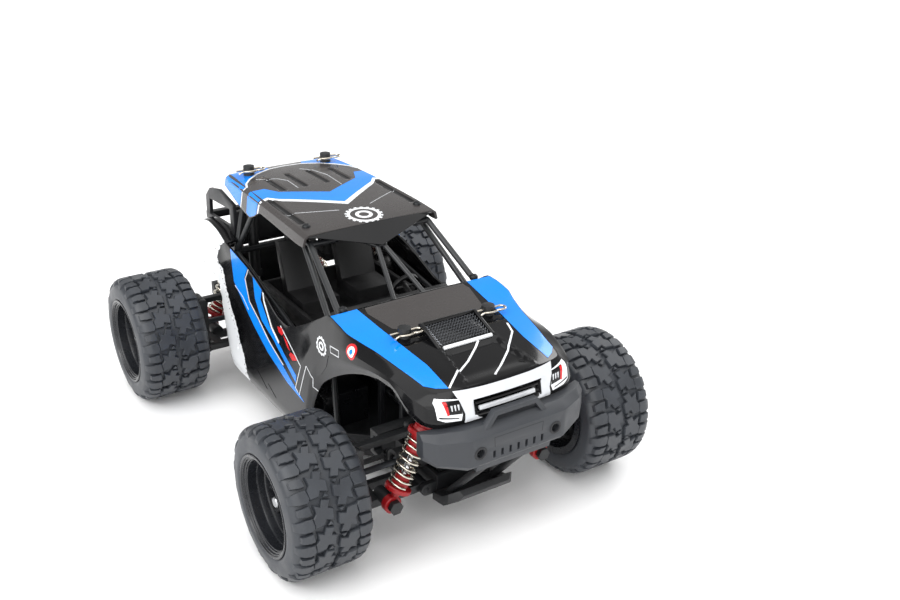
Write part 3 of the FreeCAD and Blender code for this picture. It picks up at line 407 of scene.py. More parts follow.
def eased_copy(node, finish, width=0.3, angle=38):
    """Stands for a CAD node: the same shape with its moulded edges rounded."""
    mesh = frame["nodes"][node].data.copy()
    shape = bmesh.new()
    shape.from_mesh(mesh)
    bmesh.ops.remove_doubles(shape, verts=shape.verts, dist=2e-6)
    bmesh.ops.dissolve_limit(shape, angle_limit=math.radians(0.6), verts=shape.verts, edges=shape.edges)
    shape.to_mesh(mesh)
    shape.free()
    mesh.materials.clear()
    mesh.materials.append(finish)
    piece = placed(f"{node}_eased", mesh)
    round_edges(piece, width, angle)
    worked_in(piece, 34)
    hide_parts(node)
    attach(piece, frame["nodes"][node]["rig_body"])


shaft_steel = surface("drive_shaft_blackened_steel", "#55585C", "#43464A", 0.38, 0.08, 0.4, 0.006, metal=1.0)
for end, name, x, turn in CORNERS:
    corner = f"{end}_{name}"
    for part in ("lower_arm", "upper_link", "hub_carrier"):
        eased_copy(f"{part}_{corner}", nylon)
    eased_copy(f"driveshaft_{corner}", shaft_steel, 0.2)
    if end == "front":
        eased_copy(f"steering_knuckle_{corner}", nylon)
        eased_copy(f"tie_rod_{corner}", nylon)

# Shock absorbers: red moulded body, lower cup and eyelets, a bright steel stem between them and
# a nickel-plated coil spring held between two collars.
shock_red = surface("shock_red_nylon", "#9E1016", "#8A0D12", 0.38, 0.07, 0.4, 0.01)
stem_steel = surface("shock_stem_chromed_steel", "#D4D5D6", "#C2C4C6", 0.16, 0.04, 0.4, 0.002, metal=1.0)
spring_nickel = surface("spring_nickel_plate", "#D9D4C8", "#C8C2B4", 0.18, 0.05, 0.4, 0.002, metal=1.0)
low_y, low_z, top_y, top_z, shock_x = 41.3, 25.0, 20.6, 68.0, 15.0
shock_length = math.hypot(low_y - top_y, top_z - low_z)
lean_sin, lean_cos = (low_y - top_y) / shock_length, (top_z - low_z) / shock_length
spring_low, spring_high, spring_turns, coil_radius, wire = 9.7, 34.4, 8, 4.9, 0.6


def upright(profile, steps=40):
    """(radius, height) outline turned about the shock's own axis."""
    return moved(lathe(profile, steps), lambda a, h, c: (a, -c, h))


def tube(path, radius, sides=12):
    """Round wire or pipe along a path of points, closed at both ends."""
    points, faces = [], []
    spots = [Vector(p) for p in path]
    across = (spots[1] - spots[0]).orthogonal().normalized()
    for k, spot in enumerate(spots):
        along = (spots[min(k + 1, len(spots) - 1)] - spots[max(k - 1, 0)]).normalized()
        across = (across - along * across.dot(along)).normalized()
        other = along.cross(across)
        for j in range(sides):
            a = 2 * math.pi * j / sides
            points.append(tuple(spot + (across * math.cos(a) + other * math.sin(a)) * radius))
    for k in range(len(spots) - 1):
        for j in range(sides):
            n = (j + 1) % sides
            faces.append((k * sides + j, k * sides + n, (k + 1) * sides + n, (k + 1) * sides + j))
    last = (len(spots) - 1) * sides
    faces += [tuple(range(sides - 1, -1, -1)), tuple(range(last, last + sides))]
    return points, faces


def eye(height, hole):
    """Ring of an eyelet, its hole along the truck."""
    half, ring = 2.0, 4.3
    outline = [(hole, -half), (ring - 0.4, -half), (ring, 0.4 - half), (ring, half - 0.4), (ring - 0.4, half),
               (hole, half)]
    return moved(lathe(outline, 40), lambda a, w, c: (w, a, c + height))


def laid(form, x, turn, lead):
    """A shock form, made upright from its lower eyelet, laid on its line at one corner."""
    def change(a, b, c):
        return (x + lead * shock_x + a, turn * (low_y + b * lean_cos - c * lean_sin),
                low_z + b * lean_sin + c * lean_cos)
    return moved(form, change)


body_form = joined(
    upright([(1.5, 25.0), (3.2, 25.0), (3.6, 25.4), (3.6, 33.0), (3.3, 33.4), (3.3, 34.6), (6.0, 34.8),
             (6.2, 35.2),
             (6.2, 36.6), (5.9, 37.0), (4.3, 37.0), (4.1, 37.4), (4.1, 38.8), (3.7, 39.2), (3.7, 41.2),
             (2.6, 42.0),
             (1.9, 42.4), (1.9, 44.4), (0.05, 44.4), (0.05, 40.0), (1.5, 40.0)]), eye(shock_length, 1.56))
cup_form = joined(
    eye(0, 2.1), upright([(0.05, 3.4), (1.9, 3.4), (1.9, 5.6), (2.6, 6.2), (5.9, 6.8), (6.2, 7.2), (6.2, 8.6),
                          (5.9, 9.0), (4.0, 9.2), (3.9, 11.4), (3.5, 11.8), (3.5, 14.6), (3.1, 15.0),
                          (1.45, 15.0),
                          (1.45, 9.0), (0.05, 9.0)]))
stem_form = upright([(0.05, 9.0), (1.4, 9.0), (1.4, 34.0), (0.05, 34.0)], 24)
coil_steps, end_closing = spring_turns * 28, 0.022
coil_path = []
for k in range(coil_steps + 1):
    share = k / coil_steps
    flat = share - end_closing * math.sin(2 * math.pi * share)
    a = 2 * math.pi * spring_turns * share
    coil_path.append((coil_radius * math.cos(a), coil_radius * math.sin(a),
                      spring_low + (spring_high - spring_low) * flat))
coil_form = tube(coil_path, wire, 10)
for end, name, x, turn in CORNERS:
    corner = f"{end}_{name}"
    lead = 1 if end == "front" else -1
    cylinder, rod = f"shock_cylinder_{corner}", f"shock_rod_{corner}"
    make(f"shock_body_{corner}", laid(body_form, x, turn, lead), shock_red, cylinder, [cylinder],
         sharp=30)
    make(f"shock_cup_{corner}", laid(cup_form, x, turn, lead), shock_red, rod, [rod], sharp=30)
    make(f"shock_stem_{corner}", laid(stem_form, x, turn, lead), stem_steel, rod)
    coil = make(f"shock_coil_{corner}", laid(coil_form, x, turn, lead), spring_nickel, None,
                [f"shock_spring_{corner}"])
    top = laid([[(0, 0, spring_high)], []], x, turn, lead)[0][0]
    low = laid([[(0, 0, spring_low)], []], x, turn, lead)[0][0]
    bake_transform(coil)

# Chassis: the tub, gearbox cases, shock towers and skid plates are black nylon mouldings screwed
# together. Bare steel, brass and shrink-wrapped parts of the drive lie between them.
tub_black = surface("chassis_moulded_nylon", "#121315", "#1A1B1D", 0.5, 0.08, 0.35, 0.02)
for node in ("chassis_tub", "gearbox_cases", "shock_towers", "skid_plates"):
    eased_copy(node, tub_black)
motor_can = surface("motor_can_zinc_plated_steel", "#A9ACAF", "#96999D", 0.3, 0.07, 0.5, 0.006, metal=1.0)
pinion_brass = surface("pinion_cut_brass", "#C79A4B", "#B4873C", 0.32, 0.06, 0.5, 0.006, metal=1.0)
battery_film = surface("battery_black_shrink_film", "#0E0F11", "#15161A", 0.3, 0.06, 1.2, 0.02, coat=0.3)
case_black = surface("electronics_case_abs", "#1B1C1F", "#222427", 0.42, 0.08, 0.3, 0.015)
shaft_bright = surface("centre_shaft_ground_steel", "#9DA0A3", "#8A8D91", 0.3, 0.07, 0.5, 0.005, metal=1.0)
for node, finish, slot in (
        ("centre_shaft", shaft_bright, "shaft_steel"), ("motor_pinion", pinion_brass, "pinion_brass"),
        ("drive_motor", motor_can, "motor_can"), ("battery_pack", battery_film, "battery_wrap"),
        ("control_board", case_black, "board_case"), ("steering_servo", case_black, "servo_case"),
        ("servo_horn", nylon, "suspension_black"), ("steering_rack", nylon, "suspension_black"),
        ("power_switch", case_black, "switch_black")):
    eased_copy(node, finish, 0.25)

# Front bumper: dark grey nylon with a sandblasted face, a raised hoop over it, a seam round the
# centre panel, and a collar with a lens round each lamp socket.
bumper_grey = surface("bumper_sandblasted_nylon", "#2A2C30", "#313439", 0.5, 0.07, 0.28, 0.03)
lens_black = surface("lamp_lens_smoked", "#050506", "#0A0A0C", 0.12, 0.03, 1.0, 0.002, coat=1.0)
# Near-black finish: painted shade on the bumper seam and the screw crosses; also used for the lamp collars.
seam_black = surface("moulded_seam_shadow", "#141518", "#191A1D", 0.6, 0.05, 0.4, 0.01)
eased_copy("front_bumper", bumper_grey, 0.45, 25)
nose_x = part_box("front_bumper")[1].x * 1000 - mid_x
lamp_y, lamp_z = 19.7, axle_z + 29.5
collar_edge = [(2.0, -2.0), (2.0, 0.1), (2.4, 0.3), (2.8, 0.3), (3.2, 0.05), (3.2, -2.0)]
lens_edge = [(0.02, -4.8), (1.98, -4.8), (1.98, -2.6), (1.2, -2.2), (0.02, -2.05)]
collars, lenses = [], []
for turn in (1, -1):
    def facing(form):
        return moved(form, lambda a, w, c: (nose_x + w, turn * lamp_y + a, lamp_z + c))
    collars.append(facing(lathe(collar_edge, 40)))
    lenses.append(facing(lathe(lens_edge, 32)))
make("lamp_collars", joined(*collars), seam_black, "chassis")
make("lamp_lenses", joined(*lenses), lens_black, "chassis")


def groove(path, width=0.35, lift=0.04):
    """A thin flat strip on the bumper face along (y, z) points, closed round its edges."""
    strips = []
    for (y0, z0), (y1, z1) in zip(path, path[1:]):
        length = math.hypot(y1 - y0, z1 - z0)
        ny, nz = -(z1 - z0) / length * width / 2, (y1 - y0) / length * width / 2
        corners = [(y0 + ny, z0 + nz), (y1 + ny, z1 + nz), (y1 - ny, z1 - nz), (y0 - ny, z0 - nz)]
        strip = prism(corners, -0.1, lift)
        strips.append(moved(strip, lambda a, w, c: (nose_x - 0.02 + w, a, c)))
    return joined(*strips)


# The seam round the centre panel is a flat near-black strip: painted shade of the groove.
panel = [(-12.4, axle_z + 30.4), (-12.8, axle_z + 35.0), (12.8, axle_z + 35.0), (12.4, axle_z + 30.4)]
make("bumper_seams", groove(panel), seam_black, "chassis")

# Body shell: thin polycarbonate formed over a mould and painted gloss black, one skin that runs
# from the rear wing along the door and round the nose, with the bonnet as a second patch.
gloss_black = surface("shell_gloss_black_lacquer", "#0A0A0B", "#0E0E10", 0.14, 0.04, 1.4, 0.004, coat=0.16,
                      shine=0.22)
shell_wall = 1.2


def stations(rows):
    """Rows of an x and its (y, z) points, as stations of full points."""
    return [(x, [(x, y, z) for y, z in points]) for x, *points in rows]


# Each station gives four points up the side: lower edge, lower crease, waist and shoulder. A side
# station is its x and four (y, z) points; one round the nose is its key and four full points.
STATIONS = stations([
    (-113.0, (42.6, 78.6), (43.4, 80.0), (43.4, 81.4), (42.6, 83.0)),
    (-110.0, (43.8, 75.0), (44.6, 77.0), (44.6, 81.5), (43.4, 86.5)),
    (-104.0, (44.6, 70.2), (45.6, 72.6), (45.6, 84.0), (43.8, 91.4)),
    (-96.0, (45.0, 68.2), (46.1, 71.0), (46.0, 86.0), (43.8, 95.2)),
    (-88.0, (45.2, 67.0), (46.4, 70.4), (46.2, 87.0), (43.8, 96.6)),
    (-78.0, (45.5, 65.8), (46.6, 69.2), (46.6, 86.0), (44.0, 95.8)),
    (-73.0, (45.8, 63.5), (46.8, 67.4), (46.8, 84.0), (44.2, 94.8)),
    (-70.5, (45.9, 56.0), (46.9, 61.0), (46.9, 81.0), (44.3, 94.2)),
    (-68.5, (46.0, 45.0), (46.9, 50.5), (47.0, 78.0), (44.5, 93.8)),
    (-65.5, (46.0, 31.0), (47.0, 36.5), (47.2, 73.0), (44.8, 93.3)),
    (-60.0, (46.0, 20.8), (46.9, 25.2), (47.4, 64.0), (45.2, 92.6)),
    (-45.0, (45.4, 19.0), (46.8, 24.4), (47.5, 60.0), (45.6, 91.2)),
    (-33.0, (45.3, 18.8), (46.8, 24.2), (47.5, 60.0), (45.8, 89.4)),
    (-20.0, (45.3, 18.7), (46.8, 24.0), (47.5, 60.0), (46.1, 86.4)),
    (-8.0, (45.3, 18.7), (46.8, 23.6), (47.5, 60.0), (46.4, 81.8)),
    (6.0, (45.3, 18.7), (46.8, 23.4), (47.5, 60.0), (46.7, 77.0)),
    (14.0, (45.3, 18.9), (46.8, 23.6), (47.5, 60.0), (46.6, 76.4)),
    (22.0, (45.4, 19.6), (46.8, 24.6), (47.4, 60.5), (46.4, 78.8)),
    (30.0, (45.5, 22.5), (46.8, 30.0), (47.3, 63.0), (46.1, 82.8)),
    (35.0, (45.4, 32.0), (46.8, 46.0), (47.2, 68.0), (45.8, 85.8)),
    (40.0, (45.2, 46.0), (46.8, 61.0), (47.0, 74.0), (45.5, 88.8)),
    (48.0, (44.8, 59.2), (46.5, 70.6), (46.6, 80.5), (44.9, 93.8)),
    (57.0, (44.5, 66.6), (46.2, 77.6), (46.2, 86.0), (44.3, 98.4)),
    (64.0, (44.3, 71.2), (46.1, 80.4), (46.2, 87.4), (44.6, 98.0)),
    (71.0, (44.1, 75.2), (46.0, 82.6), (46.1, 88.6), (44.6, 96.9)),
    (80.0, (43.9, 79.6), (45.6, 85.0), (45.4, 89.6), (42.4, 95.2)),
    (91.0, (43.4, 83.6), (44.8, 87.2), (44.3, 90.0), (39.6, 93.9)),
    (100.0, (42.8, 85.2), (44.1, 88.4), (43.4, 90.2), (38.0, 92.8)),
    (107.0, (42.2, 85.2), (43.4, 88.6), (42.6, 90.0), (36.8, 91.9)),
    (113.0, (41.4, 82.0), (42.6, 86.4), (41.8, 89.0), (35.6, 91.0)),
    (119.0, (40.4, 77.8), (41.6, 82.2), (40.9, 87.4), (34.6, 90.1)),
]) + [
    (124.0, [(124.5, 39.5, 76.3), (124.8, 40.5, 79.6), (124.2, 39.6, 86.0), (123.0, 34.0, 89.5)]),
    (128.0, [(129.2, 37.6, 75.7), (129.7, 38.2, 78.4), (128.6, 37.0, 84.6), (125.8, 33.2, 89.0)]),
    (132.5, [(132.4, 33.6, 75.5), (132.8, 33.6, 77.8), (131.4, 32.4, 84.8), (128.2, 29.4, 89.2)]),
    (138.0, [(133.9, 27.4, 75.5), (134.3, 27.2, 77.6), (132.7, 26.4, 85.2), (129.9, 24.2, 89.7)]),
    (145.0, [(134.8, 20.0, 75.6), (135.2, 19.8, 77.6), (133.5, 19.4, 85.6), (131.0, 18.2, 90.2)]),
    (154.0, [(135.3, 10.5, 75.8), (135.7, 10.4, 77.7), (134.0, 10.2, 86.0), (131.8, 9.6, 90.6)]),
    (164.5, [(135.5, 0.0, 75.9), (135.9, 0.0, 77.8), (134.2, 0.0, 86.1), (132.0, 0.0, 90.7)]),
]
tail_t, hood_t, corner_t, front_t = -113.0, 57.0, 128.0, 164.5
hood_z, hood_slope = 99.0, 0.1092


def eased_between(keys, t):
    """Smooth curve through (t, value) keys that never overshoots them."""
    for k in range(len(keys) - 1):
        if t <= keys[k + 1][0] or k == len(keys) - 2:
            break
    slopes = []
    for j in (k, k + 1):
        before, here, after = keys[max(j - 1, 0)], keys[j], keys[min(j + 1, len(keys) - 1)]
        left = (here[1] - before[1]) / (here[0] - before[0]) if here[0] > before[0] else 0
        right = (after[1] - here[1]) / (after[0] - here[0]) if after[0] > here[0] else 0
        slopes.append(2 * left * right / (left + right) if left * right > 0 else 0)
    (t0, v0), (t1, v1) = keys[k], keys[k + 1]
    span = t1 - t0
    u = min(max((t - t0) / span, 0), 1)
    return (v0 * (1 + 2 * u) * (1 - u) ** 2 + v1 * u * u * (3 - 2 * u)
            + span * slopes[0] * u * (1 - u) ** 2 - span * slopes[1] * u * u * (1 - u))


def rail(row, t, table=STATIONS):
    """Point of one of the four rails at a station."""
    return tuple(eased_between([(s, points[row][axis]) for s, points in table], t) for axis in range(3))


def skin_column(t):
    """Points up the side at one station, from the lower edge to the shoulder."""
    keys = [Vector(rail(row, t)) for row in range(4)]
    column = []
    for row, steps in ((0, 3), (1, 9), (2, 5)):
        column += [keys[row].lerp(keys[row + 1], k / steps) for k in range(steps)]
    return column + [keys[3]]


mouth_half, mouth_low, mouth_high, mouth_depth = 17.4, 77.7, 84.4, 2.6


def grille_recess(point):
    """How far the skin steps back inside the rounded grille mouth."""
    y, z = abs(point.y), point.z
    inside = min((mouth_half - y) / 0.9, (z - mouth_low) / 0.7, (mouth_high - z) / 0.7,
                 (mouth_half - y + (z - mouth_low)) / 1.8)
    return mouth_depth * min(max(inside, 0), 1)


body_ts = [tail_t + 1.5 * k for k in range(113)] + [hood_t + 1.42 * k for k in range(50)] + [corner_t]
nose_ts = [corner_t + (front_t - corner_t) * k / 34 for k in range(1, 35)]
skin_ts = sorted(set(body_ts + nose_ts))
columns = [skin_column(t) for t in skin_ts]
columns = [[p - Vector((grille_recess(p) if p.x > 125 else 0, 0, 0)) for p in column] for column in columns]


def grid(columns):
    """Faces over columns of points."""
    tall = len(columns[0])
    points = [tuple(p) for column in columns for p in column]
    faces = [(i * tall + j, (i + 1) * tall + j, (i + 1) * tall + j + 1, i * tall + j + 1)
             for i in range(len(columns) - 1) for j in range(tall - 1)]
    return points, faces


def mirrored(form):
    """The form on the other side of the centre line."""
    return [(x, -y, z) for x, y, z in form[0]], [tuple(reversed(ring)) for ring in form[1]]


def both(form):
    """The form and its mirror image as one."""
    return joined(form, mirrored(form))


flange_end, flange_y = -62, 38.2
rear_flange = []
for t in [t for t in skin_ts if t <= flange_end]:
    edge = Vector(rail(3, t))
    rear_flange.append([edge, edge + Vector((0, -1.6, 0.5)), Vector((edge.x, flange_y, edge.z + 0.9))])


def hood_height(x, y, shoulder_y, shoulder_z):
    """Bonnet plane with its outer facets, the sunk centre panel, its ribs and the rear lip."""
    y = abs(y)
    centre = hood_z - (x - hood_t) * hood_slope
    inner = 30.2 - max(x - 60, 0) * 0.085
    z = centre - 0.0004 * y * y
    if y > inner:
        share = (y - inner) / max(shoulder_y - inner, 0.5)
        z += (shoulder_z - z) * min(share, 1)
    half = 13.8 + (x - 104) * 0.13
    sunk = min((half - y) / 0.9, (x - 104.6) / 0.9, (129.0 - x) / 6.0)
    z -= 1.5 * min(max(sunk, 0), 1)
    ridge = 1 - abs(y - half - 0.7) / 0.9
    if 100 < x < 129:
        z += 0.35 * max(ridge, 0)
    lip = min((x - 56.9) / 0.5, (59.2 - x) / 0.8, (inner - 1 - y) / 0.8)
    return z + 0.4 * min(max(lip, 0), 1)


shoulder_ts = [t for t in skin_ts if hood_t <= t <= corner_t]
front_points = [Vector(rail(3, t)) for t in [corner_t] + nose_ts]
hood_columns = []
for t in shoulder_ts:
    edge = Vector(rail(3, t))
    share = (edge.x - hood_t) / (front_points[0].x - hood_t)
    column = []
    for k, spot in enumerate(front_points):
        x = hood_t + share * (spot.x - hood_t)
        y = edge.y * spot.y / front_points[0].y
        z = hood_height(x, y, edge.y, edge.z)
        at_front = hood_height(spot.x, spot.y, front_points[0].y, front_points[0].z)
        z += (spot.z - at_front) * max(share, 0) ** 5
        column.append(edge if k == 0 else Vector((x, y, z)))
    hood_columns.append(column)
skin = both(joined(grid(columns), grid(rear_flange), grid(hood_columns)))


def walled(name, form, wall, finish, edge_width, stands_for=()):
    """A skin given its wall on the inside, with its cut edges rounded."""
    piece = make(name, form, finish, None, stands_for, sharp=30)
    shape = bmesh.new()
    shape.from_mesh(piece.data)
    if sum(f.normal.z * f.calc_area() for f in shape.faces) < 0:
        bmesh.ops.reverse_faces(shape, faces=shape.faces)
    shape.to_mesh(piece.data)
    outside = BVHTree.FromBMesh(shape)
    shape.free()
    solid = piece.modifiers.new("wall", "SOLIDIFY")
    solid.thickness, solid.offset, solid.use_even_offset = wall / 1000, -1, False
    round_edges(piece, edge_width, 50)
    worked_in(piece, 32)
    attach(piece, "chassis")
    return outside


shell_outside = walled("body_shell_painted", skin, shell_wall, gloss_black, 0.3,
                       ["body_shell"])

# Printed film on the shell: blue, white, grey, red and silver vinyl shapes laid on the paint,
# each cut to its outline and following the skin under it.
film_blue = surface("vinyl_gloss_azure", "#0086F0", "#007AE2", 0.2, 0.05, 1.6, 0.004, coat=0.3, shine=0.3)
film_white = surface("vinyl_gloss_white", "#F1F3F5", "#E4E7EA", 0.24, 0.05, 1.6, 0.004, coat=0.3)
film_grey = surface("vinyl_metallic_charcoal", "#3F3C3B", "#373433", 0.28, 0.06, 0.5, 0.004, coat=0.25,
                    shine=0.35)
film_red = surface("vinyl_gloss_red", "#D5141B", "#C01016", 0.24, 0.05, 1.6, 0.004, coat=0.3)
film_silver = surface("vinyl_pearl_silver", "#D9DBDE", "#C4C7CB", 0.2, 0.05, 1.6, 0.004, coat=0.8)
film_black = surface("vinyl_gloss_black", "#08080A", "#0C0C0E", 0.18, 0.05, 1.6, 0.003, coat=0.2, shine=0.25)
RAYS = {     # direction of the ray, where it starts, and metres to fall back on where it meets nothing
    "left": (Vector((0, -1, 0)), lambda a, b: (a, 90, b), 0.044),
    "right": (Vector((0, 1, 0)), lambda a, b: (a, -90, b), 0.044),
    "top": (Vector((0, 0, -1)), lambda a, b: (a, b, 190), 0.09),
    "front": (Vector((-1, 0, 0)), lambda a, b: (190, a, b), 0.09)}
film_sink, ray_reach = 0.05, 0.14    # millimetres into the skin, metres a ray may go


def draped(outlines, facing, outside, lift=0.12, cell=1.3):
    """Flat outlines cut into small cells and laid on a skin, with a thin closed edge."""
    ray, start, depth = RAYS[facing]
    shape = bmesh.new()
    for outline in outlines:
        shape.faces.new([shape.verts.new((a, b, 0)) for a, b in outline])
    bmesh.ops.triangulate(shape, faces=shape.faces)
    for axis in (0, 1):
        low = min(v.co[axis] for v in shape.verts)
        high = max(v.co[axis] for v in shape.verts)
        normal = Vector((1, 0, 0)) if axis == 0 else Vector((0, 1, 0))
        for k in range(int((high - low) / cell) + 1):
            bmesh.ops.bisect_plane(shape, geom=shape.verts[:] + shape.edges[:] + shape.faces[:],
                                   plane_co=normal * (low + (k + 0.5) * cell), plane_no=normal)
    bmesh.ops.remove_doubles(shape, verts=shape.verts, dist=0.002)
    shape.verts.index_update()
    tops, bottoms = [], []
    for vert in shape.verts:
        origin = at(*start(vert.co.x, vert.co.y))
        hit, normal, _, _ = outside.ray_cast(origin, ray)
        if hit is None or (hit - origin).length > ray_reach:
            hit, normal, _, _ = outside.find_nearest(origin + ray * depth)
        if normal.dot(ray) > 0:
            normal = -normal
        spot = Vector(((hit.x * 1000 - mid_x), hit.y * 1000, hit.z * 1000))
        tops.append(tuple(spot + normal * lift))
        bottoms.append(tuple(spot - normal * film_sink))
    rings = [tuple(v.index for v in f.verts) for f in shape.faces]
    count = len(tops)
    rims = [(e.verts[0].index, e.verts[1].index) for e in shape.edges if len(e.link_faces) == 1]
    shape.free()
    faces = rings + [tuple(i + count for i in reversed(ring)) for ring in rings]
    faces += [(a, b, b + count, a + count) for a, b in rims]
    return tops + bottoms, faces


def strip(path, width):
    """Outline of a line with a width, along a path of flat points."""
    left, right = [], []
    for k, (a, b) in enumerate(path):
        a0, b0 = path[max(k - 1, 0)]
        a1, b1 = path[min(k + 1, len(path) - 1)]
        length = math.hypot(a1 - a0, b1 - b0)
        na, nb = -(b1 - b0) / length * width / 2, (a1 - a0) / length * width / 2
        left.append((a + na, b + nb))
        right.append((a - na, b - nb))
    return left + right[::-1]


def disc(a, b, radius, steps=28):
    """Outline of a round patch."""
    return [(a + radius * math.cos(2 * math.pi * k / steps), b + radius * math.sin(2 * math.pi * k / steps))
            for k in range(steps)]


def ring(a, b, outer, inner, steps=28):
    """A flat ring as a row of short segments."""
    spots = [(math.cos(2 * math.pi * k / steps), math.sin(2 * math.pi * k / steps)) for k in range(steps + 1)]
    return [[(a + outer * c0, b + outer * s0), (a + outer * c1, b + outer * s1),
             (a + inner * c1, b + inner * s1), (a + inner * c0, b + inner * s0)]
            for (c0, s0), (c1, s1) in zip(spots, spots[1:])]


def studs(a, b, radius, count):
    """Small teeth that stand out round a badge."""
    teeth = []
    for k in range(count):
        near, far = 2 * math.pi * (k - 0.22) / count, 2 * math.pi * (k + 0.22) / count
        teeth.append([(a + r * math.cos(t), b + r * math.sin(t))
                      for r, t in ((radius, near), (radius * 1.1, near), (radius * 1.1, far), (radius, far))])
    return teeth


lower_edge = [rail(0, t) for t in skin_ts if t <= -40]
upper_edge = [rail(3, t) for t in skin_ts if -112 <= t <= -64.5]
chance = random.Random(4)
tear = [(-64.5, 92.6), (-69.5, 89.6), (-72.0, 84.0), (-71.0, 79.0), (-65.0, 77.6), (-62.0, 69.8),
        (-58.0, 63.0),
        (-55.0, 58.3), (-50.5, 52.0), (-48.2, 46.0), (-45.8, 38.5), (-42.8, 34.0), (-41.6, 28.0),
        (-40.2, 19.4)]
ragged = []
for (a0, b0), (a1, b1) in zip(tear, tear[1:]):
    steps = max(int(math.hypot(a1 - a0, b1 - b0) / 0.9), 1)
    for k in range(steps):
        a, b = a0 + (a1 - a0) * k / steps, b0 + (b1 - b0) * k / steps
        ragged.append((a + chance.uniform(-0.75, 0.75), b + chance.uniform(-0.4, 0.4)))
white_flank = [(x, z) for x, y, z in upper_edge] + ragged + [(x, z) for x, y, z in reversed(lower_edge)]
specks = []
for k in range(60):
    a, b = ragged[chance.randrange(len(ragged))]
    a -= chance.uniform(-0.6, 3.2)
    size = chance.uniform(0.12, 0.45)
    specks.append([(a + size * chance.uniform(0.6, 1.2) * math.cos(t), b
                    + size * chance.uniform(0.6, 1.4) * math.sin(t))
                   for t in (0.2, 1.3, 2.4, 3.6, 4.8, 5.7)])
blue_sides = [
    [(-55.6, 92.4), (-32.4, 89.4), (-36.6, 82.6), (-31.2, 71.3), (-20.2, 65.9), (-4.0, 57.6), (12.0, 50.6),
     (31.4, 41.7), (13.2, 44.3), (-8.9, 51.6), (-30.6, 63.6), (-50.4, 75.4)],
    [(-25.4, 87.3), (-14.4, 84.2), (-16.0, 78.4), (-5.2, 68.0), (8.0, 62.0), (24.6, 53.2), (23.4, 49.0),
     (13.5, 54.9), (1.0, 61.8), (-14.8, 67.5), (-22.8, 76.4)],
]
white_lines = [
    strip([(-12.8, 83.6), (-11.6, 79.2), (-2.6, 68.4), (6.0, 63.4)], 1.3),
    strip([(-31.4, 89.0), (-35.4, 82.4), (-30.0, 71.8), (-19.0, 66.6), (-4.0, 58.4), (10.0, 52.6)], 0.45),
    strip([(-49.0, 73.6), (-38.6, 71.2), (-31.0, 66.6)], 0.35),
    strip([(30.1, 61.1), (22.8, 45.8), (26.7, 43.7), (36.0, 64.0), (41.6, 59.6), (40.4, 54.5), (44.2, 53.6)],
          0.4),
    strip([(8.0, 73.6), (20.0, 67.0), (30.0, 61.4)], 0.35),
]
red_marks = [
    [(4.6, 71.9), (9.4, 73.2), (11.9, 71.2), (9.4, 69.0), (6.0, 69.6)],
    [(11.2, 69.6), (15.0, 68.2), (18.4, 64.4), (15.7, 65.2)],
    [(19.4, 64.0), (24.0, 64.2), (26.3, 62.6), (21.4, 60.4), (17.8, 62.0)],
]
toothed = (51.8, 81.6)
badges = ring(*toothed, 4.3, 3.5) + ring(*toothed, 2.2, 1.2) + studs(*toothed, 4.35, 12)
plate_edge = [strip([(60.5, 85.6), (68.6, 86.6), (68.4, 83.2), (60.6, 82.2), (60.5, 85.6)], 0.35)]
black_blade = [[(58.4, 79.4), (52.0, 75.2), (45.6, 67.8), (44.4, 61.2), (49.0, 65.2), (54.7, 72.0)]]
slots = [[(-38.0, 27.3), (-24.9, 33.4), (-13.6, 27.2), (-23.0, 26.0)],
         [(-12.0, 31.4), (-2.6, 27.2), (-9.0, 26.2)]]


def film(name, outlines, finish, facings=("top",), lift=0.12, cell=1.3, outside=shell_outside):
    """Flat outlines laid on the skin from each direction named, as one piece of film."""
    shapes = [draped(outlines, facing, outside, lift, cell) for facing in facings]
    make(name, joined(*shapes), finish, "chassis", sharp=50)


flanks = ("left", "right")
film("film_flank_white", [white_flank], film_white, flanks, cell=1.8)
film("film_flank_specks", specks, film_black, flanks, 0.2)
film("film_flank_blue", blue_sides, film_blue, flanks, 0.13)
film("film_flank_lines", white_lines + badges + plate_edge, film_white, flanks, 0.2)
film("film_flank_red", red_marks, film_red, flanks, 0.2)
film("film_flank_black", black_blade + slots, film_black, flanks, 0.16)
roundel, red_edge, white_edge, blue_edge = (78.6, 90.2), 3.6, 2.4, 1.15
film("film_roundel_red", ring(*roundel, red_edge, white_edge), film_red, flanks, 0.16)
film("film_roundel_white", ring(*roundel, white_edge, blue_edge), film_white, flanks, 0.16)
film("film_roundel_blue", [disc(*roundel, blue_edge)], film_blue, flanks, 0.16)

shoulder = [(rail(3, t)[0], rail(3, t)[1] - 0.35) for t in shoulder_ts if t <= 122.0]
bonnet_side = [(57.1, 30.4)] + shoulder + [
    (124.6, 30.6), (127.6, 26.0), (110.0, 25.6), (93.0, 27.4), (76.0, 29.0)]
for turn, side_name in ((1, "left"), (-1, "right")):
    film(f"film_bonnet_blue_{side_name}", [[(a, b * turn) for a, b in bonnet_side]], film_blue, lift=0.13)
rear_panel = [(58.6, -27.0), (58.6, 27.0), (63.0, 28.0), (79.0, 24.4), (83.4, 19.0), (83.4, -19.0),
              (79.0, -24.4), (63.0, -28.0)]
film("film_bonnet_grey", [rear_panel], film_grey)
bonnet_lines = [strip([(103.8, 5.2), (114.0, -7.0), (120.0, -16.4), (127.6, -25.6)], 0.9),
                strip([(97.5, 25.6), (104.6, 23.4), (114.3, 14.2), (129.4, -3.6)], 0.9)]
film("film_bonnet_lines", bonnet_lines, film_white, lift=0.16)

# Nose: a pearl silver frame round the dark grille mouth, a silver bar between two black ones across
# it, and lamps that are printed white shapes with a black lens, silver fins and a red flash.


def nose_film(name, outlines, finish, lift):
    """Film laid on the nose from the front."""
    film(name, outlines, finish, ("front",), lift, 1.0)


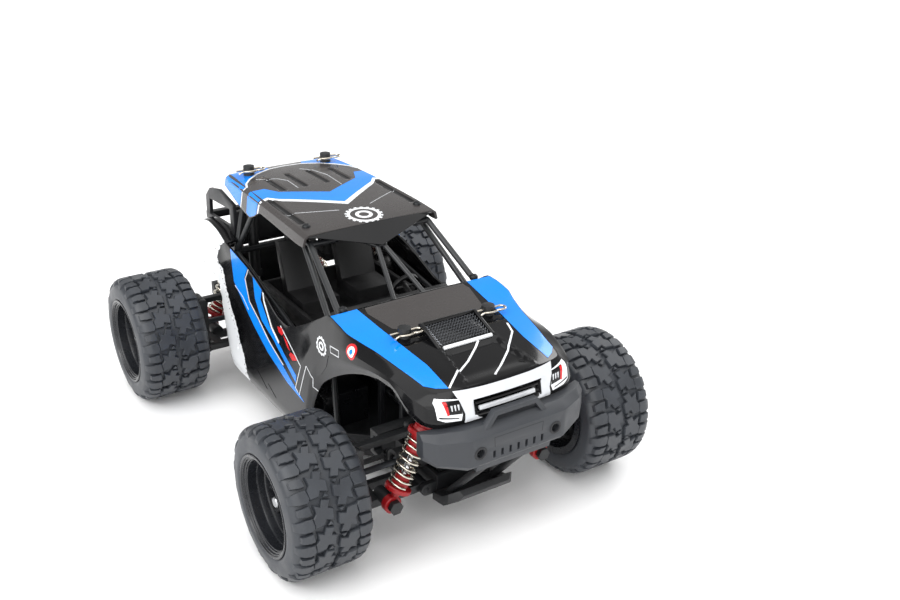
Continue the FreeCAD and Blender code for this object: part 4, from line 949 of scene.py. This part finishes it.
surround = [
    [(-25.6, 89.4), (25.6, 89.4), (23.8, 85.2), (-23.8, 85.2)],
    [(-23.8, 85.2), (-17.8, 85.2), (-17.6, 78.4), (-14.0, 76.4), (-22.4, 76.2), (-22.0, 80.0)],
    [(23.8, 85.2), (17.8, 85.2), (17.6, 78.4), (14.0, 76.4), (22.4, 76.2), (22.0, 80.0)],
]
nose_film("film_nose_silver", surround, film_silver, 0.35)
mouth = [[(-17.2, 84.2), (17.2, 84.2), (17.2, 79.0), (15.6, 77.9), (-15.6, 77.9), (-17.2, 79.0)]]
nose_film("grille_mouth", mouth, film_black, 0.1)


nose_curve = [(0, 135.4), (10.5, 135.2), (20.0, 134.6), (27.4, 133.6)]    # x by distance from the middle


def nose_bar(y_half, z, tall, back, thick):
    """A moulded bar across the nose that follows its curve."""
    steps = 16
    points, faces = [], []
    for k in range(steps + 1):
        y = -y_half + 2 * y_half * k / steps
        x = eased_between(nose_curve, abs(y)) - back
        low, high = z - tall / 2, z + tall / 2
        points += [(x - thick, y, low), (x, y, low), (x - 0.4, y, high), (x - thick, y, high)]
    for k in range(steps):
        for j in range(4):
            faces.append((4 * k + j, 4 * k + (j + 1) % 4, 4 * k + 4 + (j + 1) % 4, 4 * k + 4 + j))
    last = 4 * steps
    faces += [(3, 2, 1, 0), (last, last + 1, last + 2, last + 3)]
    return softened((points, faces), 0.25, 40)


make("grille_bar_white", nose_bar(14.6, 80.3, 1.8, 0.4, 1.6), film_silver, "chassis")
black_bars = joined(nose_bar(16.4, 82.9, 0.9, 1.0, 1.4), nose_bar(15.6, 78.3, 0.8, 0.9, 1.4))
make("grille_bars_black", black_bars, film_black, "chassis")
lamp_white, lamp_black, lamp_teeth, lamp_red = [], [], [], []
for turn in (1, -1):
    def lamp(outline):
        return [(turn * a, b) for a, b in outline]
    lamp_white.append(lamp([(24.2, 86.6), (33.4, 87.4), (34.6, 86.0), (34.2, 79.6), (31.0, 78.2),
                            (24.0, 77.6),
                            (23.2, 80.0)]))
    lamp_black.append(lamp([(23.6, 86.2), (31.0, 86.5), (29.4, 83.6), (29.0, 80.9), (23.4, 80.4)]))
    for tooth in (24.4, 25.9, 27.4):
        lamp_teeth.append(lamp([(tooth, 84.6), (tooth + 0.9, 84.7), (tooth + 0.5, 82.2),
                                (tooth + 0.1, 82.2)]))
    lamp_black.append(lamp([(33.6, 80.6), (25.0, 78.9), (25.0, 78.5), (33.4, 79.9)]))
    lamp_red.append(lamp([(29.6, 86.1), (31.4, 86.3), (29.9, 80.6), (29.0, 80.9)]))
nose_film("lamp_white", lamp_white, film_white, 0.14)
nose_film("lamp_black", lamp_black, film_black, 0.22)
nose_film("lamp_teeth", lamp_teeth, film_silver, 0.28)
nose_film("lamp_red", lamp_red, film_red, 0.26)

# Bonnet intake: a raised wedge with side walls round a slope of woven wire mesh, and a white bar
# at its foot. The mesh is a row of bent wires repeated down the slope.


def along_slope(x):
    """Height just over the bonnet's centre panel."""
    return hood_z + 0.2 - (x - hood_t) * hood_slope


wedge = [(85.4, along_slope(85.4) - 1.5), (85.9, along_slope(86) + 3.6), (87.4, along_slope(87) + 4.0),
         (102.4, along_slope(102) + 0.1), (102.4, along_slope(102) - 1.5)]
floor_line = [(85.8, along_slope(86) - 1.5), (86.6, along_slope(86) + 2.6), (102.2, along_slope(102) - 0.5),
              (102.2, along_slope(102) - 1.5)]
intake = joined(prism(wedge, 13.4, 15.2), prism(wedge, -15.2, -13.4), prism(floor_line, -13.6, 13.6),
                prism([wedge[0], wedge[1], wedge[2], (87.6, along_slope(87) + 2.4)], -14.0, 14.0))
make("bonnet_intake", softened(intake, 0.4, 40), film_black, "chassis", sharp=30)
slope_back, slope_front = (87.8, along_slope(88) + 2.7), (101.2, along_slope(101) + 0.15)
wires = []
for row in range(8):
    share = (row + 0.5) / 8
    path = []
    for k in range(35):
        zig = 0.62 if k % 2 else -0.62
        s = share + zig / 14
        path.append((slope_back[0] + (slope_front[0] - slope_back[0]) * s, -13.0 + 26.0 * k / 34,
                     slope_back[1] + (slope_front[1] - slope_back[1]) * s + 0.1))
    wires.append(tube(path, 0.21, 6))
mesh_wire = surface("intake_wire_dulled_steel", "#8C8F94", "#74777C", 0.34, 0.06, 0.4, 0.004, metal=0.9)
make("intake_wire_mesh", joined(*wires), mesh_wire, "chassis")
foot_bar = tube([(103.4, y, along_slope(103) + 0.1) for y in (-12.8, 0, 12.8)], 0.95, 14)
make("intake_bar", softened(foot_bar, 0.3, 50), film_white, "chassis")

# Roof: a second painted shell, charcoal with a blue and white chevron, lengthwise flutes pressed
# into it, deep side flanges and a black wedge of a visor under its front edge.
ROOF = stations([
    (-87.0, (33.6, 117.0), (33.0, 117.6), (30.6, 117.6), (0.0, 117.6)),
    (-86.2, (33.9, 116.8), (33.1, 121.0), (30.8, 122.4), (0.0, 122.9)),
    (-79.0, (34.8, 116.0), (34.0, 121.4), (31.6, 123.1), (0.0, 123.9)),
    (-60.0, (36.4, 112.8), (35.2, 121.9), (32.9, 123.7), (0.0, 124.7)),
    (-47.0, (36.9, 111.2), (35.7, 122.1), (33.4, 123.9), (0.0, 125.0)),
    (-41.0, (37.0, 113.4), (35.9, 122.2), (33.6, 124.0), (0.0, 125.0)),
    (-31.0, (37.3, 118.2), (36.2, 122.2), (33.9, 123.9), (0.0, 124.9)),
    (0.0, (38.0, 117.4), (36.9, 121.9), (34.7, 123.6), (0.0, 124.3)),
    (14.0, (38.2, 117.0), (37.1, 121.5), (34.9, 123.1), (0.0, 123.6)),
    (18.7, (38.1, 117.4), (37.0, 121.2), (35.0, 122.7), (0.0, 123.1)),
])
flute_depth = 1.1
# ends, y and half width
flutes = [(-64.0, -40.0, 19.0, 1.7), (-66.0, -40.0, 6.4, 1.7), (-33.0, 5.6, 31.2, 1.9)]


def roof_column(t):
    """Points across half the roof at one station, with the flutes pressed in."""
    keys = [Vector(rail(row, t, ROOF)) for row in range(4)]
    column = [keys[0].lerp(keys[1], k / 5) for k in range(5)]
    column += [keys[1].lerp(keys[2], k / 3) for k in range(3)]
    for k in range(45):
        spot = keys[2].lerp(keys[3], k / 44)
        arch = 1 - (spot.y / keys[2].y) ** 2
        spot.z = keys[2].z + (keys[3].z - keys[2].z) * arch
        for start, end, line, half in flutes:
            lengthwise = min((spot.x - start) / 1.6, (end - spot.x) / 1.2)
            across = 1 - (abs(abs(spot.y) - line) / half) ** 2
            if lengthwise > 0 and across > 0:
                spot.z -= flute_depth * min(lengthwise, 1) * math.sqrt(across)
        column.append(spot)
    return column


roof_ts = [-87.0, -86.7, -86.4, -86.2] + [-86.2 + 104.9 * k / 118 for k in range(1, 119)]
roof_form = both(grid([roof_column(t) for t in roof_ts]))
roof_outside = walled("roof_painted", roof_form, shell_wall, film_grey, 0.3, ["roof_panel"])
visor_edge = [(18.2, 36.4, 121.6), (20.4, 30.0, 120.8), (29.0, 0.0, 114.3), (20.4, -30.0, 120.8),
              (18.2, -36.4, 121.6)]
visor_top = [(17.9, 35.6, 122.2), (18.6, 24.0, 122.6), (18.8, 0.0, 122.9), (18.6, -24.0, 122.6),
             (17.9, -35.6, 122.2)]
visor_points = visor_edge + visor_top + [(x - 1.1, y, z - 0.5) for x, y, z in visor_edge] + [
    (x - 1.0, y, z - 1.0) for x, y, z in visor_top]
visor_faces = []
for k in range(4):
    visor_faces += [(k, k + 1, 5 + k + 1, 5 + k), (10 + k, 15 + k, 15 + k + 1, 10 + k + 1),
                    (k, 10 + k, 10 + k + 1, k + 1), (5 + k, 5 + k + 1, 15 + k + 1, 15 + k)]
visor_faces += [(0, 5, 15, 10), (4, 14, 19, 9)]
make("roof_visor", softened((visor_points, visor_faces), 0.35, 40), gloss_black, "chassis",
     sharp=20)
chevron_in = [(-49.5, -33.4), (-49.0, -26.9), (-40.0, -22.6), (-26.3, 0.0), (-40.0, 22.6), (-50.5, 27.2),
              (-51.0, 33.4)]
chevron_out = [(-35.0, -33.8), (-36.0, -31.0), (-30.8, -27.0), (-10.0, 0.0), (-31.4, 27.4), (-36.8, 31.2),
               (-36.0, 33.8)]
white_out = [(-32.4, -33.8), (-33.6, -31.4), (-27.4, -26.6), (-6.2, 0.0), (-28.0, 27.0), (-34.2, 31.6),
             (-33.4, 33.8)]


def bands(back, front):
    """Quads between two edges that run across the roof."""
    return [[back[k], back[k + 1], front[k + 1], front[k]] for k in range(len(back) - 1)]


def roof_film(name, outlines, finish, facings=("top",), lift=0.12):
    """Film laid on the roof."""
    film(name, outlines, finish, facings, lift, outside=roof_outside)


roof_film("film_roof_chevron", bands(chevron_in, chevron_out), film_blue)
roof_film("film_roof_chevron_line", bands(chevron_out, white_out), film_white, lift=0.13)
rear_half = [(-57.0, -33.0), (-62.5, -31.0), (-68.5, -26.4), (-75.0, -19.0), (-79.6, -9.8)]
rear_line = rear_half + [(-80.6, 0.0)] + [(a, -b) for a, b in reversed(rear_half)]
rear_blue = [[(-85.8, -30.6), (-85.8, -12.0)] + [p for p in rear_line if p[1] < -9][::-1],
             [(-85.8, 30.6), (-85.8, 12.0)] + [p for p in rear_line if p[1] > 9]]
roof_film("film_roof_rear", rear_blue, film_blue)
roof_film("film_roof_rear_line", [strip(rear_line, 1.0)], film_white, lift=0.14)
flange_blue = [[(-86.0, 117.2), (-86.0, 122.0), (-58.6, 123.4), (-59.8, 113.2), (-78.8, 116.4)],
               [(-50.6, 123.6), (-36.6, 123.4), (-37.4, 116.0), (-41.0, 113.8), (-46.6, 111.6),
                (-50.8, 112.4)]]
flange_white = [strip([(-57.6, 123.4), (-58.9, 112.9)], 0.9), strip([(-34.6, 123.2), (-35.2, 116.6)], 1.5)]
roof_film("film_roof_side", flange_blue, film_blue, flanks)
roof_film("film_roof_side_line", flange_white, film_white, flanks, 0.14)
pin_lines = [strip([(-10.6, -33.0), (-6.0, -22.0), (-0.8, -8.0)], 0.3),
             strip([(-1.5, 10.0), (-12.4, 28.8), (-15.6, 32.6)], 0.3),
             strip([(-66.0, -24.0), (-60.0, -14.0), (-54.0, -11.0), (-40.0, -11.4)], 0.3),
             strip([(-70.0, 4.0), (-64.0, 9.0), (-52.0, 11.6), (-34.0, 11.0)], 0.3)]
# Black film along each flute on the charcoal roof: painted shade in the pressed-in flutes.
flute_shade_patches = []
for start, end, line, half in flutes:
    for turn in (1, -1):
        y = turn * line
        flute_shade_patches.append([(start + 1, y - half * 0.8), (end - 1.2, y - half * 0.9), (end - 0.2, y),
                            (end - 1.2, y + half * 0.9),
                            (start + 1, y + half * 0.8), (start, y)])
roof_film("painted_flute_shade", flute_shade_patches, film_black, lift=0.1)
roof_film("film_roof_pins", pin_lines, film_silver, lift=0.14)
badge = (9.6, 0.3)
roof_badge = ring(*badge, 8.6, 7.0) + ring(*badge, 4.4, 2.6) + studs(*badge, 8.7, 18)
roof_film("film_roof_badge", roof_badge, film_white, lift=0.14)

# Cage, cockpit and load bed: satin black nylon, bent round bars over a moulded tray with two
# seats, a dashboard and a small steering wheel.
cage_satin = surface("cage_satin_nylon", "#17181A", "#1E2022", 0.36, 0.07, 0.3, 0.012)
tray_black = surface("cockpit_tray_abs", "#050506", "#0A0A0C", 0.5, 0.08, 0.4, 0.02)
bed_black = surface("load_bed_abs", "#151618", "#1D1E21", 0.42, 0.08, 0.35, 0.02)
eased_copy("roll_cage", cage_satin, 0.2)
eased_copy("cockpit_tray", tray_black, 0.5)
eased_copy("rear_deck", bed_black, 0.4)

# Fasteners: bent spring-wire clips, nickel plated, through the four body posts, and black
# cross-head screws at the roof corners and the feet of the cage.
clip_wire = surface("clip_nickel_plated_wire", "#D8D2C6", "#C4BCAD", 0.14, 0.04, 0.4, 0.002, metal=1.0)
screw_black = surface("screw_black_oxide", "#1A1B1D", "#242628", 0.34, 0.07, 0.3, 0.006, metal=0.6)


def clip(x, y, z):
    """R-clip: the straight leg goes through the post and the bent leg hugs it."""
    path = [(0.0, -7.4, 0.0), (0.0, -3.0, 0.0), (0.0, 3.0, 0.0), (0.0, 6.0, 0.0)]
    path += [(2.0 - 2.0 * math.cos(a), 6.0 + 2.0 * math.sin(a), 0.0)
             for a in [math.pi * k / 8 for k in range(1, 9)]]
    path += [(4.0, 4.6, 0.0), (3.5, 3.4, 0.0), (3.9, 2.2, 0.0), (4.3, 0.0, 0.0), (3.9, -2.2, 0.0),
             (3.3, -4.0, 0.0),
             (3.6, -5.4, 0.0), (4.8, -7.4, 0.0)]
    smooth = []
    for k in range(len(path) - 1):
        p0, p1, p2, p3 = (Vector(path[min(max(k + j, 0), len(path) - 1)]) for j in (-1, 0, 1, 2))
        for step in range(4):
            u = step / 4
            smooth.append(0.5 * ((2 * p1) + (p2 - p0) * u + (2 * p0 - 5 * p1 + 4 * p2 - p3) * u * u
                                 + (3 * p1 - p0 - 3 * p2 + p3) * u * u * u))
    smooth.append(Vector(path[-1]))
    return moved(tube(smooth, 0.6, 10), lambda a, b, c: (x + a, y + b, z + c))


def screw(x, y, z, radius=2.1):
    """Domed head, axis upright."""
    head = lathe([(0.02, -0.6), (radius, -0.6), (radius, 0.5), (radius * 0.8, 1.1), (radius * 0.45, 1.4),
                  (0.02, 1.5)], 28)
    return moved(head, lambda a, w, c: (x + a, y + c, z + w))


def cross(x, y, z, size=1.2):
    """The dark cross on top of a screw head: painted shade of the cross recess."""
    bars = joined(prism([(-size, -0.3), (size, -0.3), (size, 0.3), (-size, 0.3)], 1.2, 1.52),
                  prism([(-0.3, -size), (0.3, -size), (0.3, size), (-0.3, size)], 1.2, 1.53))
    return moved(bars, lambda a, w, c: (x + a, y + c, z + w))


clip_drop = 2.0          # a clip goes through its post this far under the post's top
posts = [(86.4, 22.6, axle_z + 64.8 - clip_drop), (-76.6, 23.2, axle_z + 93.7 - clip_drop)]
clips = joined(*[clip(x, turn * y, z) for x, y, z in posts for turn in (1, -1)])
make("body_clips", clips, clip_wire, "chassis", ["body_fasteners"])
heads = [(9.3, 31.3, 123.4), (54.6, 36.2, 98.7)]
spots = [(x, turn * y, z) for x, y, z in heads for turn in (1, -1)]
make("shell_screws", joined(*[screw(*spot) for spot in spots]), screw_black, "chassis")
make("shell_screw_crosses", joined(*[cross(*spot) for spot in spots]), seam_black, "chassis")

# Floor, light and camera: a white seamless table under two wide suns, one from the front right and
# one overhead, a strip light on each side, and a white surround that is dimmer towards the top.
far = 30                 # metres from the middle of the floor to its edge
floor_mesh = bpy.data.meshes.new("table")
floor_mesh.from_pydata([(-far, -far, 0), (far, -far, 0), (far, far, 0), (-far, far, 0)], [], [(0, 1, 2, 3)])
table = placed("table", floor_mesh)
floor_mesh.materials.append(surface("table_matt_white_laminate", "#FAFAFA", "#F6F6F6", 0.6, 0.05, 2.0, 0.002))


def aimed(name, light, spot, target):
    """A light at a spot that shines at a target."""
    holder = placed(name, light)
    holder.location = spot
    holder.rotation_euler = (Vector(target) - Vector(spot)).to_track_quat("-Z", "Y").to_euler()


def strip_light(name, spot, target, size, power):
    """A white rectangular light; places and size in metres, power in watts."""
    light = bpy.data.lights.new(name, "AREA")
    light.shape, light.size, light.size_y = "RECTANGLE", size[0], size[1]
    light.energy = power
    aimed(name, light, spot, target)


def wide_sun(name, spot, spread, power):
    """A sun that comes from the side of a spot, spread over some degrees."""
    light = bpy.data.lights.new(name, "SUN")
    light.angle, light.energy = math.radians(spread), power
    aimed(name, light, spot, (0, 0, 0))


wide_sun("front_fill", (0.8, -0.85, 0.9), 80, 2.0)
wide_sun("ceiling_fill", (0.1, 0.0, 1.0), 80, 1.6)
strip_light("strip_left", (-0.1, 1.0, 0.75), (0, 0, 0.08), (1.0, 0.3), 5)
strip_light("strip_right", (0.15, -1.0, 0.9), (0, 0, 0.06), (0.9, 0.3), 5)
bpy.context.scene.view_settings.view_transform = "Standard"
world = bpy.data.worlds.new("studio")
bpy.context.scene.world = world
world.use_nodes = True
sky = world.node_tree
sky.nodes["Background"].inputs["Color"].default_value = (1, 1, 1, 1)
place = add(sky, "ShaderNodeTexCoord")
split = add(sky, "ShaderNodeSeparateXYZ", {0: place.outputs["Generated"]})
ramp = add(sky, "ShaderNodeMapRange",
           {"Value": split.outputs["Z"], "From Max": 0.3, "To Min": 1.1, "To Max": 0.5})
sky.links.new(ramp.outputs["Result"], sky.nodes["Background"].inputs["Strength"])

yaw, pitch, roll = math.radians(146.37), math.radians(-25.0), -0.01769
ahead = Vector((math.cos(pitch) * math.cos(yaw), math.cos(pitch) * math.sin(yaw), math.sin(pitch)))
right = Vector((math.sin(yaw), -math.cos(yaw), 0))
down = ahead.cross(right)
right, down = (right * math.cos(roll) + down * math.sin(roll), down * math.cos(roll) - right * math.sin(roll))
lens = bpy.data.cameras.new("camera")
lens.lens, lens.sensor_width = 43.23, 36
camera = placed("camera", lens)
camera.matrix_world = Matrix((right, -down, -ahead)).transposed().to_4x4()
camera.location = at(452.7, -242.3, 312.5)
bpy.context.scene.camera = camera
